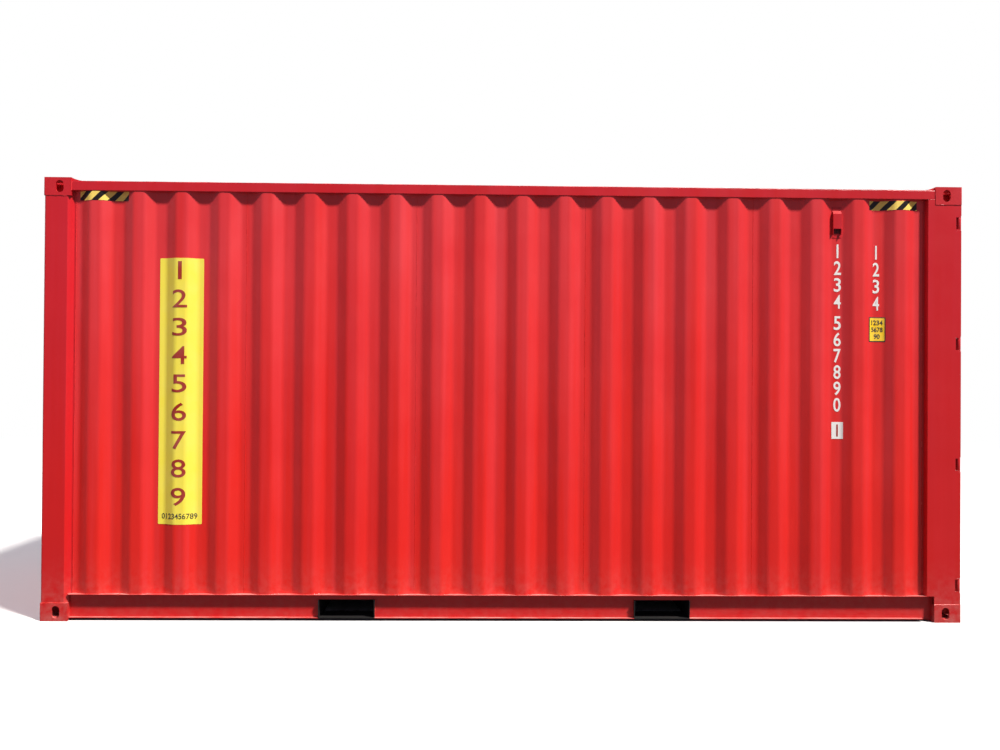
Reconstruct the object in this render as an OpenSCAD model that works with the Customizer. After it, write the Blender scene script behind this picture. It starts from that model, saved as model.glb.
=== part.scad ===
// Steel freight container, 20 ft long and high cube, with two swinging door leaves.
// X runs along the container: blind front end at -X, door end at +X. Y runs across it, Z is up.
// The origin is on the ground, at the middle of the outline.
// Each corner is drawn once in its own frame: a from the end face, b from the side face, z from below.

/* [Overall] */
// Length over the corner fittings
length = 6058; // [4500:1:7500]
// Width over the corner fittings
width = 2438; // [2300:1:2600]
// Height over the corner fittings
height = 2896; // [2591:1:3000]

/* [Corner fittings] */
// Length of a fitting along the container
fitting_length = 178; // [170:1:190]
// Width of a fitting across the container
fitting_width = 162; // [156:1:170]
// Height of a fitting
fitting_height = 118; // [112:1:126]
// Thickness of the wall that holds the lock slot
fitting_face = 28; // [20:1:32]
// Thickness of the side and end walls
fitting_wall = 16; // [12:1:22]
// Thickness of the walls that face the frame
fitting_back = 12; // [8:1:14]
// Radius of the outer upright edge
fitting_round = 8; // [2:1:12]
// Length of the lock slot
slot_length = 124.5; // [110:0.5:130]
// Width of the lock slot
slot_width = 63.5; // [55:0.5:66]
// Height of the side and end holes
side_hole_height = 79.5; // [70:0.5:82]
// Width of the side and end holes
side_hole_width = 51; // [45:0.5:58]
// Distance of the slot's centre from the end face
slot_from_end = 102.5; // [98:0.5:106]
// Distance of the slot's centre from the side face
slot_from_side = 89.5; // [85:0.5:92]

/* [Setbacks] */
// Posts behind the faces of the fittings
post_setback = 3; // [2:0.5:6]
// Outer flats of the walls behind the faces of the fittings
wall_setback = 8; // [6:0.5:14]
// Rails behind the side faces of the fittings
rail_setback = 4; // [3:0.5:8]
// Top rails and headers below the top of the fittings
top_setback = 24; // [22:0.5:30]
// Rails, sills and cross members above the ground
ground_gap = 17; // [12:0.5:24]

/* [Rails] */
// Height of the bottom side rail
bottom_rail_height = 158; // [150:1:170]
// Width of the bottom rail's upper flange
bottom_rail_top_flange = 48; // [46:1:60]
// Width of the bottom rail's lower flange
bottom_rail_low_flange = 30; // [20:1:45]
// Thickness of the bottom rail
bottom_rail_plate = 4.5; // [3:0.5:6]
// Length of the gusset that joins a bottom rail to the fitting at the door end
gusset_length = 65; // [40:1:90]
// Lowest point of that gusset above the ground
gusset_gap = 5; // [4:0.5:10]
// Side of the square tube of the top rails and the front header
top_rail_side = 60; // [56:1:80]
// Wall of that tube
top_rail_wall = 3; // [2:0.5:5]

/* [Side walls] */
// Width of the outer flats
side_outer_flat = 72; // [60:0.5:100]
// Width of the inner flats
side_inner_flat = 71.7; // [50:0.1:100]
// Run of the slopes along the wall
side_slope = 68; // [30:0.5:80]
// Depth of the corrugation over the sheet
side_depth = 36; // [28:0.5:40]
// Thickness of the sheet
side_sheet = 2; // [1.5:0.1:3]
// Narrow inner flat beside the front post
side_first_flat = 33.3; // [20:0.1:60]

/* [Front wall] */
// Width of the outer flats
front_outer_flat = 110; // [90:1:130]
// Width of the inner flats
front_inner_flat = 104; // [90:1:130]
// Run of the slopes along the wall
front_slope = 18; // [12:1:40]
// Depth of the corrugation over the sheet
front_depth = 45.6; // [36:0.2:50]
// Thickness of the sheet
front_sheet = 2; // [1.5:0.1:3]

/* [Posts] */
// Thickness of the pressed outer posts
post_plate = 6; // [4:0.5:8]
// Width of the front post's side face, measured from the end face
front_post_side = 155; // [140:1:170]
// Width of the front post's end face, measured from the side face
front_post_end = 130; // [110:1:150]
// Run of the front post's slanted flanks
front_post_flank = 30; // [15:1:45]
// Lip of a post along the wall sheet
post_lip = 12; // [8:1:20]
// Outer bend radius of the front post
front_post_bend = 14; // [8:1:24]
// Width of the door post's side face, measured from the end face
door_post_side = 226; // [222:1:240]
// Run of the door post's slanted flank
door_post_flank = 10; // [6:1:24]
// Reach of the door post's rear edge inwards, measured from the side face
door_post_return = 24; // [18:1:27]
// Length of the door post's inner channel along the container
channel_length = 113; // [100:1:114]
// Thickness of the inner channel
channel_plate = 10; // [8:1:12]

/* [Door end] */
// Outer face of the leaves behind the end face
leaf_setback = 50; // [48:1:54]
// Thickness of a leaf
leaf_thickness = 50; // [46:1:54]
// Hinge edge of a leaf, measured from the side face
leaf_edge = 36; // [34:1:38]
// Gap between the two leaves
leaf_gap = 26; // [26:1:32]
// Gap between a leaf and the sill or header
leaf_end_gap = 12; // [10.5:0.5:16]
// Clear width left on each side by the post
door_side_margin = 49; // [46:1:52]
// Lap of a leaf over the stop behind it, above and below
leaf_lap = 13; // [10:1:18]
// Running clearance between a leaf and the stop behind it
stop_clearance = 6; // [5.5:0.5:8]
// Depth of the sill and header along the container, behind the stop
stop_depth = 80; // [60:1:100]
// Plate of the sill and header
sill_plate = 4; // [3:0.5:6]
// Height of the header, from the top of the top rail to the door opening
header_height = 120; // [110:1:300]
// Width of the upright tubes of a leaf
leaf_stile = 100; // [80:1:120]
// Wall of those tubes
leaf_stile_wall = 3.2; // [2:0.1:5]
// Height of the channels across a leaf
leaf_rail = 150; // [120:1:180]
// Plate of those channels
leaf_rail_plate = 3; // [2:0.5:5]
// Recessed bands of a leaf's panel
leaf_bands = 5; // [3:1:9]
// Height of a recessed band
leaf_band_flat = 72; // [60:1:120]
// Run of the slopes of a band
leaf_band_slope = 34; // [20:1:70]
// Depth of the bands over the sheet
leaf_band_depth = 36; // [24:1:40]
// Thickness of a leaf's sheet
leaf_sheet = 2; // [1.5:0.1:3]
// Sheet of a leaf behind the face of its frame
leaf_sheet_inset = 2; // [1:0.5:4]
// Reach of the gasket past the edges of a leaf
gasket_lip = 6.5; // [5:0.5:6.5]
// Depth of the gasket along the edge of a leaf
gasket_depth = 36; // [20:1:40]
// Gasket past the inner face of a leaf
gasket_proud = 1; // [0:0.5:1]

/* [Hinges] */
// Pin centre behind the end face
pin_from_end = 13.5; // [13:0.5:16]
// Pin centre behind the side face
pin_from_side = 16.5; // [16:0.5:18]
// Radius of the pins
pin_radius = 8; // [6:0.5:9]
// Running clearance round a pin
pin_clearance = 0.5; // [0.3:0.1:0.8]
// Outer radius of a knuckle
knuckle_radius = 13; // [11:0.5:13]
// Height of a cut-out in the door post
cutout_height = 99; // [86:1:104]
// Depth of a cut-out, measured from the end face
cutout_depth = 38; // [36:1:44]
// Thickness of a hinge lug
lug_plate = 10; // [8:1:12]
// Running clearance between a knuckle and its lugs
knuckle_clearance = 1; // [0.5:0.1:2]
// Thickness of a hinge blade
blade_plate = 10; // [8:0.5:10]
// Length of a hinge blade on the leaf
blade_length = 190; // [120:1:260]
// Reach of a lug inwards of the side face
lug_side = 24; // [22:0.5:24]
// Length of a lug's foot along the post
lug_foot = 24; // [10:1:40]
// Lowest hinge above the ground
hinge_low = 246; // [230:1:280]
// Highest hinge below the top of the container
hinge_drop = 241; // [236:1:400]
// Hinges on each leaf
hinge_count = 4; // [3:1:5]

/* [Locks] */
// Radius of the lock rods
rod_radius = 17; // [13:0.5:17.5]
// Wall of the lock rods
rod_wall = 4; // [2:0.5:5]
// Centre of the rods behind the end face
rod_from_end = 27; // [26.5:0.5:28]
// Rods inwards of the leaf's two edges
rod_inset = 260; // [235:1:300]
// Radius of a rod bracket
bracket_radius = 22; // [21:0.5:22]
// Height of a rod bracket
bracket_height = 50; // [30:1:70]
// Width of a rod bracket's foot
bracket_foot = 100; // [70:1:120]
// Thickness of a rod bracket's foot
bracket_plate = 5; // [4:1:6]
// Running clearance between a rod and its brackets
rod_clearance = 0.5; // [0.3:0.1:0.8]
// Half width of a cam
cam_reach = 34; // [28:1:40]
// Thickness of a cam
cam_plate = 24; // [16:1:30]
// Height of a cam
cam_height = 44; // [30:1:50]
// Clearance between a cam and its keeper
keeper_clearance = 10; // [8:1:14]
// Thickness of a keeper's cheeks
keeper_plate = 8; // [6:1:12]
// Height between the two handles of a leaf
handle_step = 150; // [120:1:180]
// Length of a handle
handle_length = 480; // [300:1:560]
// Height of the bar of a handle
handle_bar = 32; // [20:1:40]
// Thickness of the bar of a handle
handle_plate = 12; // [8:1:14]
// Radius of a handle's hub
handle_hub = 21; // [19:0.5:22]
// Width of a handle's catch
catch_width = 40; // [30:1:60]
// Thickness of a catch's shelves
catch_plate = 6; // [4:1:8]
// Clearance between a handle and each shelf of its catch
catch_clearance = 0.5; // [0.5:0.5:3]

/* [Floor] */
// Thickness of the floor boards
floor_thickness = 28; // [21:1:32]
// Gap between the floor and the wall sheet
floor_gap = 2; // [1:0.5:6]
// Height of a cross member
member_height = 122; // [115:1:130]
// Flange width of a cross member
member_flange = 45; // [30:1:60]
// Plate of a cross member
member_plate = 4; // [3:0.5:6]
// Distance between cross members
member_pitch = 298; // [250:1:400]

/* [Fork pockets] */
// Distance between the centres of the pockets
pocket_spacing = 2082; // [1900:1:2200]
// Clear width of a pocket
pocket_width = 360; // [300:1:400]
// Clear height of a pocket
pocket_height = 113; // [90:1:114]
// Plate of a pocket's sides
pocket_plate = 4.5; // [3:0.5:6]
// Flange of a pocket's sides
pocket_flange = 45; // [30:1:60]
// Plate of a pocket's roof
pocket_roof = 3; // [2:0.5:5]
// Length of the plate under each mouth of a pocket
pocket_strap = 200; // [150:1:300]
// Upper corner of a pocket's cheeks behind the edge of the bottom rail
cheek_inset = 6; // [2:1:15]
// Root gap between plates that are welded together
root_gap = 0.2; // [0.1:0.1:0.5]

/* [Roof] */
// Depth of the ribs over the sheet
roof_depth = 20; // [14:0.5:21]
// Width of a rib's crest
roof_crest = 91; // [70:1:110]
// Width of a trough
roof_trough = 91; // [70:1:110]
// Run of a rib's slopes
roof_slope = 13.5; // [8:0.5:30]
// Thickness of the sheet
roof_sheet = 2; // [1.5:0.1:3]
// Flat edge of the roof over the top rail
roof_edge = 70; // [64:1:90]
// Run of the ribs' ends across the roof
roof_end_slope = 60; // [30:1:90]
// Roof sheet inwards of the corner plates, at each end
roof_end_gap = 5; // [2:1:40]
// Edge of the roof behind the faces of the fittings
roof_side = 6; // [4:1:12]
// Thickness of the plates at the ends of the roof
end_plate = 4; // [3:0.5:6]
// Flat part of a corner plate past its fitting
corner_plate_flat = 8; // [4:1:30]
// Run of a corner plate's slope
corner_plate_slope = 50; // [30:1:55]
// Edge of the corner plates behind the faces of the fittings
corner_plate_side = 18; // [6:1:40]
// Top of the corner plates below the top of the fittings
corner_plate_drop = 5; // [4:0.5:8]

/* [Ventilators] */
// Bays between a ventilator and the end of its wall
vent_bay = 2; // [1:1:4]
// Width of a ventilator
vent_width = 68; // [50:1:70]
// Height of a ventilator
vent_height = 210; // [150:1:260]
// Depth of a ventilator
vent_depth = 22; // [14:1:30]
// Top of a ventilator below the top rail
vent_drop = 50; // [20:1:120]
// Plate of a ventilator
vent_plate = 2; // [1.5:0.5:3]
// Rim of a ventilator above and below its hood
vent_rim = 24; // [16:1:30]
// Rim of a ventilator beside its hood
vent_side = 6; // [3:1:8]
// Height of the mouth in the hood's face
vent_mouth = 38; // [20:1:60]

/* [Hidden] */

$fn = 48;
bend_step = 15;
red = "firebrick";
black = [0.06, 0.06, 0.06];
zinc = [0.62, 0.63, 0.64];
plywood = "peru";
left = -1;
right = 1;
front = -1;
rear = 1;
overcut = 1;

// Levels
rail_top = height - top_setback;
rail_bottom = rail_top - top_rail_side;
sill_top = ground_gap + bottom_rail_height;
member_top = ground_gap + member_height;
floor_top = member_top + floor_thickness;
opening_top = rail_top - header_height;
leaf_bottom = floor_top - leaf_lap;
leaf_top = opening_top + leaf_lap;
sill_shelf = leaf_bottom - leaf_end_gap;
header_shelf = leaf_top + leaf_end_gap;

// Flats and bands of a leaf's panel
panel_bottom = leaf_bottom + leaf_rail;
panel_height = leaf_top - leaf_rail - panel_bottom;
band_height = leaf_band_flat + 2 * leaf_band_slope;
panel_flat = (panel_height - leaf_bands * band_height) / (leaf_bands + 1);
handle_flat = floor(leaf_bands / 2);
function flat_centre(i) = panel_bottom + i * (panel_flat + band_height) + panel_flat / 2;

// Places across the container, measured from a side face
wall_inner = wall_setback + side_depth;
wall_valley = wall_inner - side_sheet;
leaf_centre_edge = width / 2 - leaf_gap / 2;
rail_back = rail_setback + bottom_rail_top_flange;

// Places along the container, measured from an end face
front_valley = wall_setback + front_depth - front_sheet;
leaf_inner = leaf_setback + leaf_thickness;
stop_face = leaf_inner + stop_clearance;
stop_back = stop_face + stop_depth;
channel_back = stop_face + channel_length;
front_post_back = front_post_side + front_post_flank + post_lip;
door_post_back = door_post_side + door_post_flank + post_lip;
roof_start = fitting_length + corner_plate_flat + corner_plate_slope + roof_end_gap;
keeper_front = rod_from_end - rod_radius;

// Fork pockets
pocket_centres = [-pocket_spacing / 2, pocket_spacing / 2];
pocket_top = member_top - pocket_roof;
pocket_bottom = pocket_top - pocket_height;
pocket_cut = pocket_width + 2 * (pocket_plate + root_gap);

// Levels of the cams on the sill and the header
cam_levels = [(ground_gap + sill_shelf) / 2, (header_shelf + rail_top) / 2];

// Corrugation of the side walls
side_pitch = side_outer_flat + side_inner_flat + 2 * side_slope;
side_span = length - front_post_back - door_post_back;
side_count = floor((side_span - 2 * side_first_flat + side_inner_flat) / side_pitch);

// A flat sheet or plate drawn along a path, thick to the right of it
function unit(v) = v / norm(v);
function right_of(v) = [v[1], -v[0]];
function side_step(path, i) =
    let (n = len(path) - 1,
         before = right_of(unit(path[max(i, 1)] - path[max(i, 1) - 1])),
         after = right_of(unit(path[min(i, n - 1) + 1] - path[min(i, n - 1)])))
    (before + after) / (1 + before * after);
function far_side(path, thickness) =
    [for (i = [len(path) - 1 : -1 : 0]) path[i] + thickness * side_step(path, i)];
module plate_along(path, thickness) {
    polygon(concat(path, far_side(path, thickness)));
}

// Places a corner drawn in its own frame at one of the eight corners
module at_corner(end, side, top = false) {
    translate([end * length / 2, side * width / 2, top ? height : 0])
        mirror([end > 0 ? 1 : 0, 0, 0])
            mirror([0, side > 0 ? 1 : 0, 0])
                mirror([0, 0, top ? 1 : 0])
                    children();
}

// Turns a profile drawn across the container (b, z) so that it runs along it
module run_along(from, to) {
    translate([from, 0, 0]) rotate([90, 0, 90]) linear_extrude(to - from) children();
}

// Turns a profile drawn along the container (a, z) so that it runs across it
module run_across(from, to) {
    translate([0, to, 0]) rotate([90, 0, 0]) linear_extrude(to - from) children();
}

// Hole with round ends, its long axis along X
module slot_outline(long, wide) {
    square([long - wide, wide], center = true);
    for (s = [-1, 1]) translate([s * (long - wide) / 2, 0]) circle(d = wide);
}

module fitting() {
    difference() {
        linear_extrude(fitting_height) difference() {
            square([fitting_length, fitting_width]);
            difference() {
                square(fitting_round);
                translate([fitting_round, fitting_round]) circle(fitting_round);
            }
        }
        translate([fitting_wall, fitting_wall, fitting_face])
            cube([fitting_length - fitting_wall - fitting_back,
                  fitting_width - fitting_wall - fitting_back,
                  fitting_height - fitting_face - fitting_back]);
        translate([slot_from_end, slot_from_side, -overcut])
            linear_extrude(fitting_face + 2 * overcut) slot_outline(slot_length, slot_width);
        translate([slot_from_end, fitting_wall + overcut, fitting_height / 2])
            rotate([90, 90, 0]) linear_extrude(fitting_wall + 2 * overcut)
                slot_outline(side_hole_height, side_hole_width);
        translate([-overcut, slot_from_side, fitting_height / 2])
            rotate([0, 90, 0]) linear_extrude(fitting_wall + 2 * overcut)
                slot_outline(side_hole_height, side_hole_width);
    }
}
module fittings(end, top) {
    color(red) for (side = [left, right]) at_corner(end, side, top) fitting();
}

// Post drawn in the corner's frame from its outline, between the fittings and the rails
module post() {
    difference() {
        translate([0, 0, fitting_height]) linear_extrude(rail_bottom - fitting_height) children();
        translate([fitting_length, -overcut, 0]) cube([length, width, sill_top]);
        translate([-overcut, fitting_width, 0]) cube([length, width, sill_top]);
        translate([-overcut, -overcut, height - fitting_height])
            cube([fitting_length + overcut, fitting_width + overcut, fitting_height]);
    }
}

module front_post(side) {
    path = [
        [front_post_back, wall_valley], [front_post_back - post_lip, wall_valley],
        [front_post_side, post_setback],
        for (t = [0 : bend_step : 90]) [post_setback + front_post_bend * (1 - sin(t)),
                                 post_setback + front_post_bend * (1 - cos(t))],
        [post_setback, front_post_end],
        [front_valley, front_post_end + front_post_flank],
        [front_valley, front_post_end + front_post_flank + post_lip]];
    color(red) at_corner(front, side) post() plate_along(path, post_plate);
}

module door_post(side) {
    outer = [
        [door_post_back, wall_valley], [door_post_back - post_lip, wall_valley],
        [door_post_side, post_setback],
        [post_setback, post_setback],
        [post_setback, door_post_return]];
    inner = [
        [stop_face, post_setback + post_plate], [stop_face, door_side_margin],
        [channel_back, door_side_margin], [channel_back, post_setback + post_plate]];
    color(red) at_corner(rear, side) difference() {
        post() {
            plate_along(outer, post_plate);
            plate_along(inner, channel_plate);
        }
        for (z = hinge_levels()) translate([-overcut, -overcut, z - cutout_height / 2])
            cube([cutout_depth + overcut, door_post_return + 2 * overcut, cutout_height]);
    }
}

module bottom_rail(side) {
    path = [
        [rail_setback, sill_top], [rail_back, sill_top],
        [rail_back, ground_gap], [rail_back - bottom_rail_low_flange, ground_gap]];
    web = rail_back - bottom_rail_plate;
    color(red) difference() {
        union() {
            at_corner(front, side) run_along(fitting_length, length - fitting_length)
                plate_along(path, bottom_rail_plate);
            at_corner(rear, side) run_across(web, rail_back) polygon([
                [fitting_length, gusset_gap], [fitting_length + gusset_length, ground_gap],
                [fitting_length + gusset_length, pocket_bottom], [fitting_length, pocket_bottom]]);
        }
        at_corner(rear, side) translate([fitting_length - overcut, -overcut, 0])
            cube([gusset_length + overcut, web + overcut, ground_gap + bottom_rail_plate]);
        for (x = pocket_centres) translate([x - pocket_cut / 2, -width, -overcut])
            cube([pocket_cut, 2 * width, pocket_top + overcut]);
    }
}

module square_tube(outer, wall) {
    difference() {
        square(outer);
        translate([wall, wall]) square(outer - 2 * wall);
    }
}
module top_rail(side) {
    color(red) at_corner(front, side) run_along(fitting_length, length - fitting_length)
        translate([rail_setback, rail_bottom]) square_tube(top_rail_side, top_rail_wall);
}
module front_header() {
    color(red) translate([-length / 2 + rail_setback, 0, rail_bottom])
        run_across(fitting_width - width / 2, width / 2 - fitting_width)
            square_tube(top_rail_side, top_rail_wall);
}
module front_sill() {
    color(red) translate([-length / 2 + rail_setback, 0, ground_gap])
        run_across(fitting_width - width / 2, width / 2 - fitting_width)
            difference() {
                square([top_rail_side, bottom_rail_height]);
                offset(delta = -sill_plate) square([top_rail_side, bottom_rail_height]);
            }
}

// Sill or header of the door end: a pressed box with a stop behind the leaves, cut clear of the
// fittings and rails
module door_beam(outline, foot) {
    span = width / 2 - door_side_margin;
    color(red) difference() {
        translate([length / 2, 0, 0]) mirror([1, 0, 0]) run_across(-span, span) difference() {
            polygon(outline);
            offset(delta = -sill_plate) polygon(outline);
        }
        for (side = [left, right]) at_corner(rear, side) {
            translate([-overcut, -overcut, foot])
                cube([fitting_length + overcut, fitting_width + overcut, fitting_height]);
            translate([fitting_length, -overcut, foot])
                cube([width, overcut + (foot > 0 ? rail_setback + top_rail_side : rail_back), height]);
        }
    }
}
module door_sill() {
    door_beam([
        [leaf_setback, ground_gap], [stop_back, ground_gap], [stop_back, floor_top],
        [stop_face, floor_top], [stop_face, sill_shelf], [leaf_setback, sill_shelf]], 0);
}
module door_header() {
    door_beam([
        [leaf_setback, rail_top], [stop_back, rail_top], [stop_back, opening_top],
        [stop_face, opening_top], [stop_face, header_shelf], [leaf_setback, header_shelf]],
        height - fitting_height);
}

module member(x) {
    path = [
        [x + member_flange, ground_gap], [x, ground_gap],
        [x, member_top], [x + member_flange, member_top]];
    run_across(rail_back - width / 2, width / 2 - rail_back) plate_along(path, member_plate);
}
module member_group(from, to) {
    count = max(1, round((to - from) / member_pitch) - 1);
    for (i = [1 : count]) member(from + i * (to - from) / (count + 1) - member_flange / 2);
}
module cross_members() {
    reach = pocket_width / 2 + pocket_flange;
    color(red) {
        member_group(rail_setback + top_rail_side - length / 2, pocket_centres[0] - reach);
        member_group(pocket_centres[0] + reach, pocket_centres[1] - reach);
        member_group(pocket_centres[1] + reach, length / 2 - stop_back);
    }
}

// Fork pocket: two side channels with cheeks that close the ends of the bottom rails, a roof plate
// between them, and a strap under each mouth
module fork_pocket(x) {
    half = pocket_width / 2;
    clear = half - root_gap;
    channel = [
        [half + pocket_flange, ground_gap], [half, ground_gap],
        [half, member_top], [half + pocket_flange, member_top]];
    cheek = [
        [rail_back, ground_gap], [rail_back, pocket_top],
        [rail_setback + cheek_inset, pocket_top], [rail_back - bottom_rail_low_flange, ground_gap]];
    color(red) translate([x, 0, 0]) {
        for (m = [0, 1]) mirror([m, 0, 0]) {
            run_across(rail_back - width / 2, width / 2 - rail_back)
                plate_along(channel, pocket_plate);
            for (side = [left, right]) mirror([0, side > 0 ? 1 : 0, 0])
                translate([0, -width / 2, 0]) run_along(half, half + pocket_plate) polygon(cheek);
        }
        run_across(rail_back - width / 2, width / 2 - rail_back)
            translate([-clear, pocket_top]) square([2 * clear, pocket_roof]);
        for (side = [left, right]) mirror([0, side > 0 ? 1 : 0, 0])
            translate([-clear, rail_back - bottom_rail_low_flange - width / 2, ground_gap])
                cube([2 * clear, pocket_strap, pocket_bottom - ground_gap]);
    }
}

module floor_boards() {
    start = rail_setback + top_rail_side + floor_gap;
    color(plywood) translate([start - length / 2, rail_back + floor_gap - width / 2, member_top])
        cube([length - start - stop_back - floor_gap,
              width - 2 * (rail_back + floor_gap), floor_thickness]);
}

function side_bay(i) = front_post_back + side_first_flat + i * side_pitch;
module side_wall(side) {
    path = [
        [front_post_back, wall_valley],
        for (i = [0 : side_count - 1], p = [
            [0, wall_valley], [side_slope, wall_setback],
            [side_slope + side_outer_flat, wall_setback],
            [2 * side_slope + side_outer_flat, wall_valley]]) [side_bay(i) + p[0], p[1]],
        [length - door_post_back, wall_valley]];
    color(red) at_corner(front, side) translate([0, 0, sill_top])
        linear_extrude(rail_bottom - sill_top) plate_along(path, -side_sheet);
}

module front_wall() {
    start = front_post_end + front_post_flank + post_lip;
    span = width - 2 * start;
    bay = front_outer_flat + 2 * front_slope;
    count = floor((span + front_inner_flat - 2 * post_lip) / (bay + front_inner_flat));
    first = start + (span - count * bay - (count - 1) * front_inner_flat) / 2;
    path = [
        [front_valley, start],
        for (i = [0 : count - 1], p = [
            [front_valley, 0], [wall_setback, front_slope],
            [wall_setback, front_slope + front_outer_flat], [front_valley, bay]])
                [p[0], first + i * (bay + front_inner_flat) + p[1]],
        [front_valley, width - start]];
    color(red) at_corner(front, left) translate([0, 0, sill_top])
        linear_extrude(rail_bottom - sill_top) plate_along(path, front_sheet);
}

// Roof sheet: a grid of points along and across, raised by the product of the two lists of lifts
module roof() {
    half_x = length / 2 - roof_start;
    half_y = width / 2 - roof_side;
    pitch = roof_crest + roof_trough + 2 * roof_slope;
    count = floor((2 * half_x - roof_trough) / pitch);
    rib = roof_crest + 2 * roof_slope;
    first = -(count * rib + (count - 1) * roof_trough) / 2;
    along = [
        [-half_x, 0],
        for (i = [0 : count - 1], p = [
            [0, 0], [roof_slope, 1], [rib - roof_slope, 1], [rib, 0]])
                [first + i * pitch + p[0], p[1]],
        [half_x, 0]];
    crest_y = half_y - roof_edge - roof_end_slope;
    across = [
        [-half_y, 0], [-half_y + roof_edge, 0], [-crest_y, 1],
        [crest_y, 1], [half_y - roof_edge, 0], [half_y, 0]];
    nx = len(along);
    ny = len(across);
    lift = roof_depth - roof_sheet;
    points = [for (level = [0, roof_sheet], q = across, p = along)
        [p[0], q[0], rail_top + level + lift * p[1] * q[1]]];
    function at(i, j, level) = (level * ny + j) * nx + i;
    function split(a, b, c, d) = [[a, b, c], [a, c, d]];
    faces = [
        for (i = [0 : nx - 2], j = [0 : ny - 2]) each split(
            at(i, j, 1), at(i, j + 1, 1), at(i + 1, j + 1, 1), at(i + 1, j, 1)),
        for (i = [0 : nx - 2], j = [0 : ny - 2]) each split(
            at(i, j, 0), at(i + 1, j, 0), at(i + 1, j + 1, 0), at(i, j + 1, 0)),
        for (i = [0 : nx - 2]) each split(
            at(i, 0, 0), at(i, 0, 1), at(i + 1, 0, 1), at(i + 1, 0, 0)),
        for (i = [0 : nx - 2]) each split(
            at(i, ny - 1, 0), at(i + 1, ny - 1, 0), at(i + 1, ny - 1, 1), at(i, ny - 1, 1)),
        for (j = [0 : ny - 2]) each split(
            at(0, j, 0), at(0, j + 1, 0), at(0, j + 1, 1), at(0, j, 1)),
        for (j = [0 : ny - 2]) each split(
            at(nx - 1, j, 0), at(nx - 1, j, 1), at(nx - 1, j + 1, 1), at(nx - 1, j + 1, 0))];
    color(red) polyhedron(points, faces);
}

module roof_end_plates() {
    color(red) for (end = [front, rear]) difference() {
        at_corner(end, left) translate([roof_side, roof_side, rail_top])
            cube([roof_start - roof_side, width - 2 * roof_side, end_plate]);
        for (side = [left, right]) at_corner(end, side)
            translate([-overcut, -overcut, height - fitting_height])
                cube([fitting_length + overcut, fitting_width + overcut, fitting_height]);
    }
}

// Low pyramid round a top fitting, as the crossing of two sloped profiles
module corner_hood(top) {
    foot = rail_top + end_plate;
    run = corner_plate_flat + corner_plate_slope;
    intersection() {
        run_across(corner_plate_side, width / 2) polygon([
            [corner_plate_side, foot], [fitting_length + run, foot],
            [fitting_length + corner_plate_flat, top], [corner_plate_side, top]]);
        run_along(corner_plate_side, length / 2) polygon([
            [corner_plate_side, foot], [fitting_width + run, foot],
            [fitting_width + corner_plate_flat, top], [corner_plate_side, top]]);
    }
}
module corner_plates() {
    top = height - corner_plate_drop;
    color(red) for (end = [front, rear], side = [left, right]) at_corner(end, side) difference() {
        corner_hood(top);
        translate([-overcut, -overcut, height - fitting_height])
            cube([fitting_length + overcut, fitting_width + overcut, fitting_height]);
    }
}

// Ventilator: a flat plate on the wall, with a hood whose mouth is at the foot of its face
module ventilator(bay) {
    centre = side_bay(bay) + 2 * side_slope + side_outer_flat + side_inner_flat / 2;
    top = rail_bottom - vent_drop;
    front_face = wall_valley - vent_depth;
    hood_top = top - vent_rim;
    hood_low = top - vent_height + vent_rim;
    reach = vent_width / 2 - vent_side;
    outer = [
        [wall_valley, hood_top], [front_face, hood_top - vent_rim],
        [front_face, hood_low], [wall_valley, hood_low]];
    inner = [
        [wall_valley - vent_plate, hood_top - 2 * vent_plate],
        [front_face + vent_plate, hood_top - vent_rim - vent_plate],
        [front_face + vent_plate, hood_low - overcut], [wall_valley - vent_plate, hood_low - overcut]];
    translate([centre - vent_width / 2, wall_valley - vent_plate, top - vent_height])
        cube([vent_width, vent_plate, vent_height]);
    difference() {
        run_along(centre - reach, centre + reach) polygon(outer);
        run_along(centre - reach + vent_plate, centre + reach - vent_plate) polygon(inner);
        translate([centre - reach + vent_plate, front_face - overcut, hood_low - overcut])
            cube([2 * (reach - vent_plate), 2 * overcut + vent_plate, vent_mouth + overcut]);
    }
}
module ventilators() {
    color(red) {
        at_corner(front, left) ventilator(side_count - 1 - vent_bay);
        at_corner(front, right) ventilator(vent_bay - 1);
    }
}

function hinge_levels() = [for (i = [0 : hinge_count - 1])
    hinge_low + i * (height - hinge_drop - hinge_low) / (hinge_count - 1)];
module hinge_lugs() {
    color(red) for (side = [left, right], z = hinge_levels()) at_corner(rear, side)
        translate([0, 0, z]) {
            for (s = [-1, 1]) translate([0, 0, s * (cutout_height - lug_plate) / 2 - lug_plate / 2])
                linear_extrude(lug_plate) {
                    translate([pin_from_end, pin_from_side]) circle(knuckle_radius);
                    translate([pin_from_end, post_setback])
                        square([cutout_depth - pin_from_end, lug_side - post_setback]);
                    translate([cutout_depth, post_setback + post_plate])
                        square([lug_foot, lug_side - post_setback - post_plate]);
                }
            translate([pin_from_end, pin_from_side, -cutout_height / 2])
                cylinder(h = cutout_height, r = pin_radius);
        }
}

function rod_places() = [leaf_edge + rod_inset, leaf_centre_edge - rod_inset];
module cam_keepers() {
    color(red) for (side = [left, right], b = rod_places(), z = cam_levels, s = [-1, 1])
        at_corner(rear, side)
            translate([keeper_front, b + s * (cam_reach + keeper_clearance + keeper_plate / 2)
                       - keeper_plate / 2, z - cam_height / 2 - keeper_plate])
                cube([leaf_setback - keeper_front, keeper_plate, cam_height + 2 * keeper_plate]);
}

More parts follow.
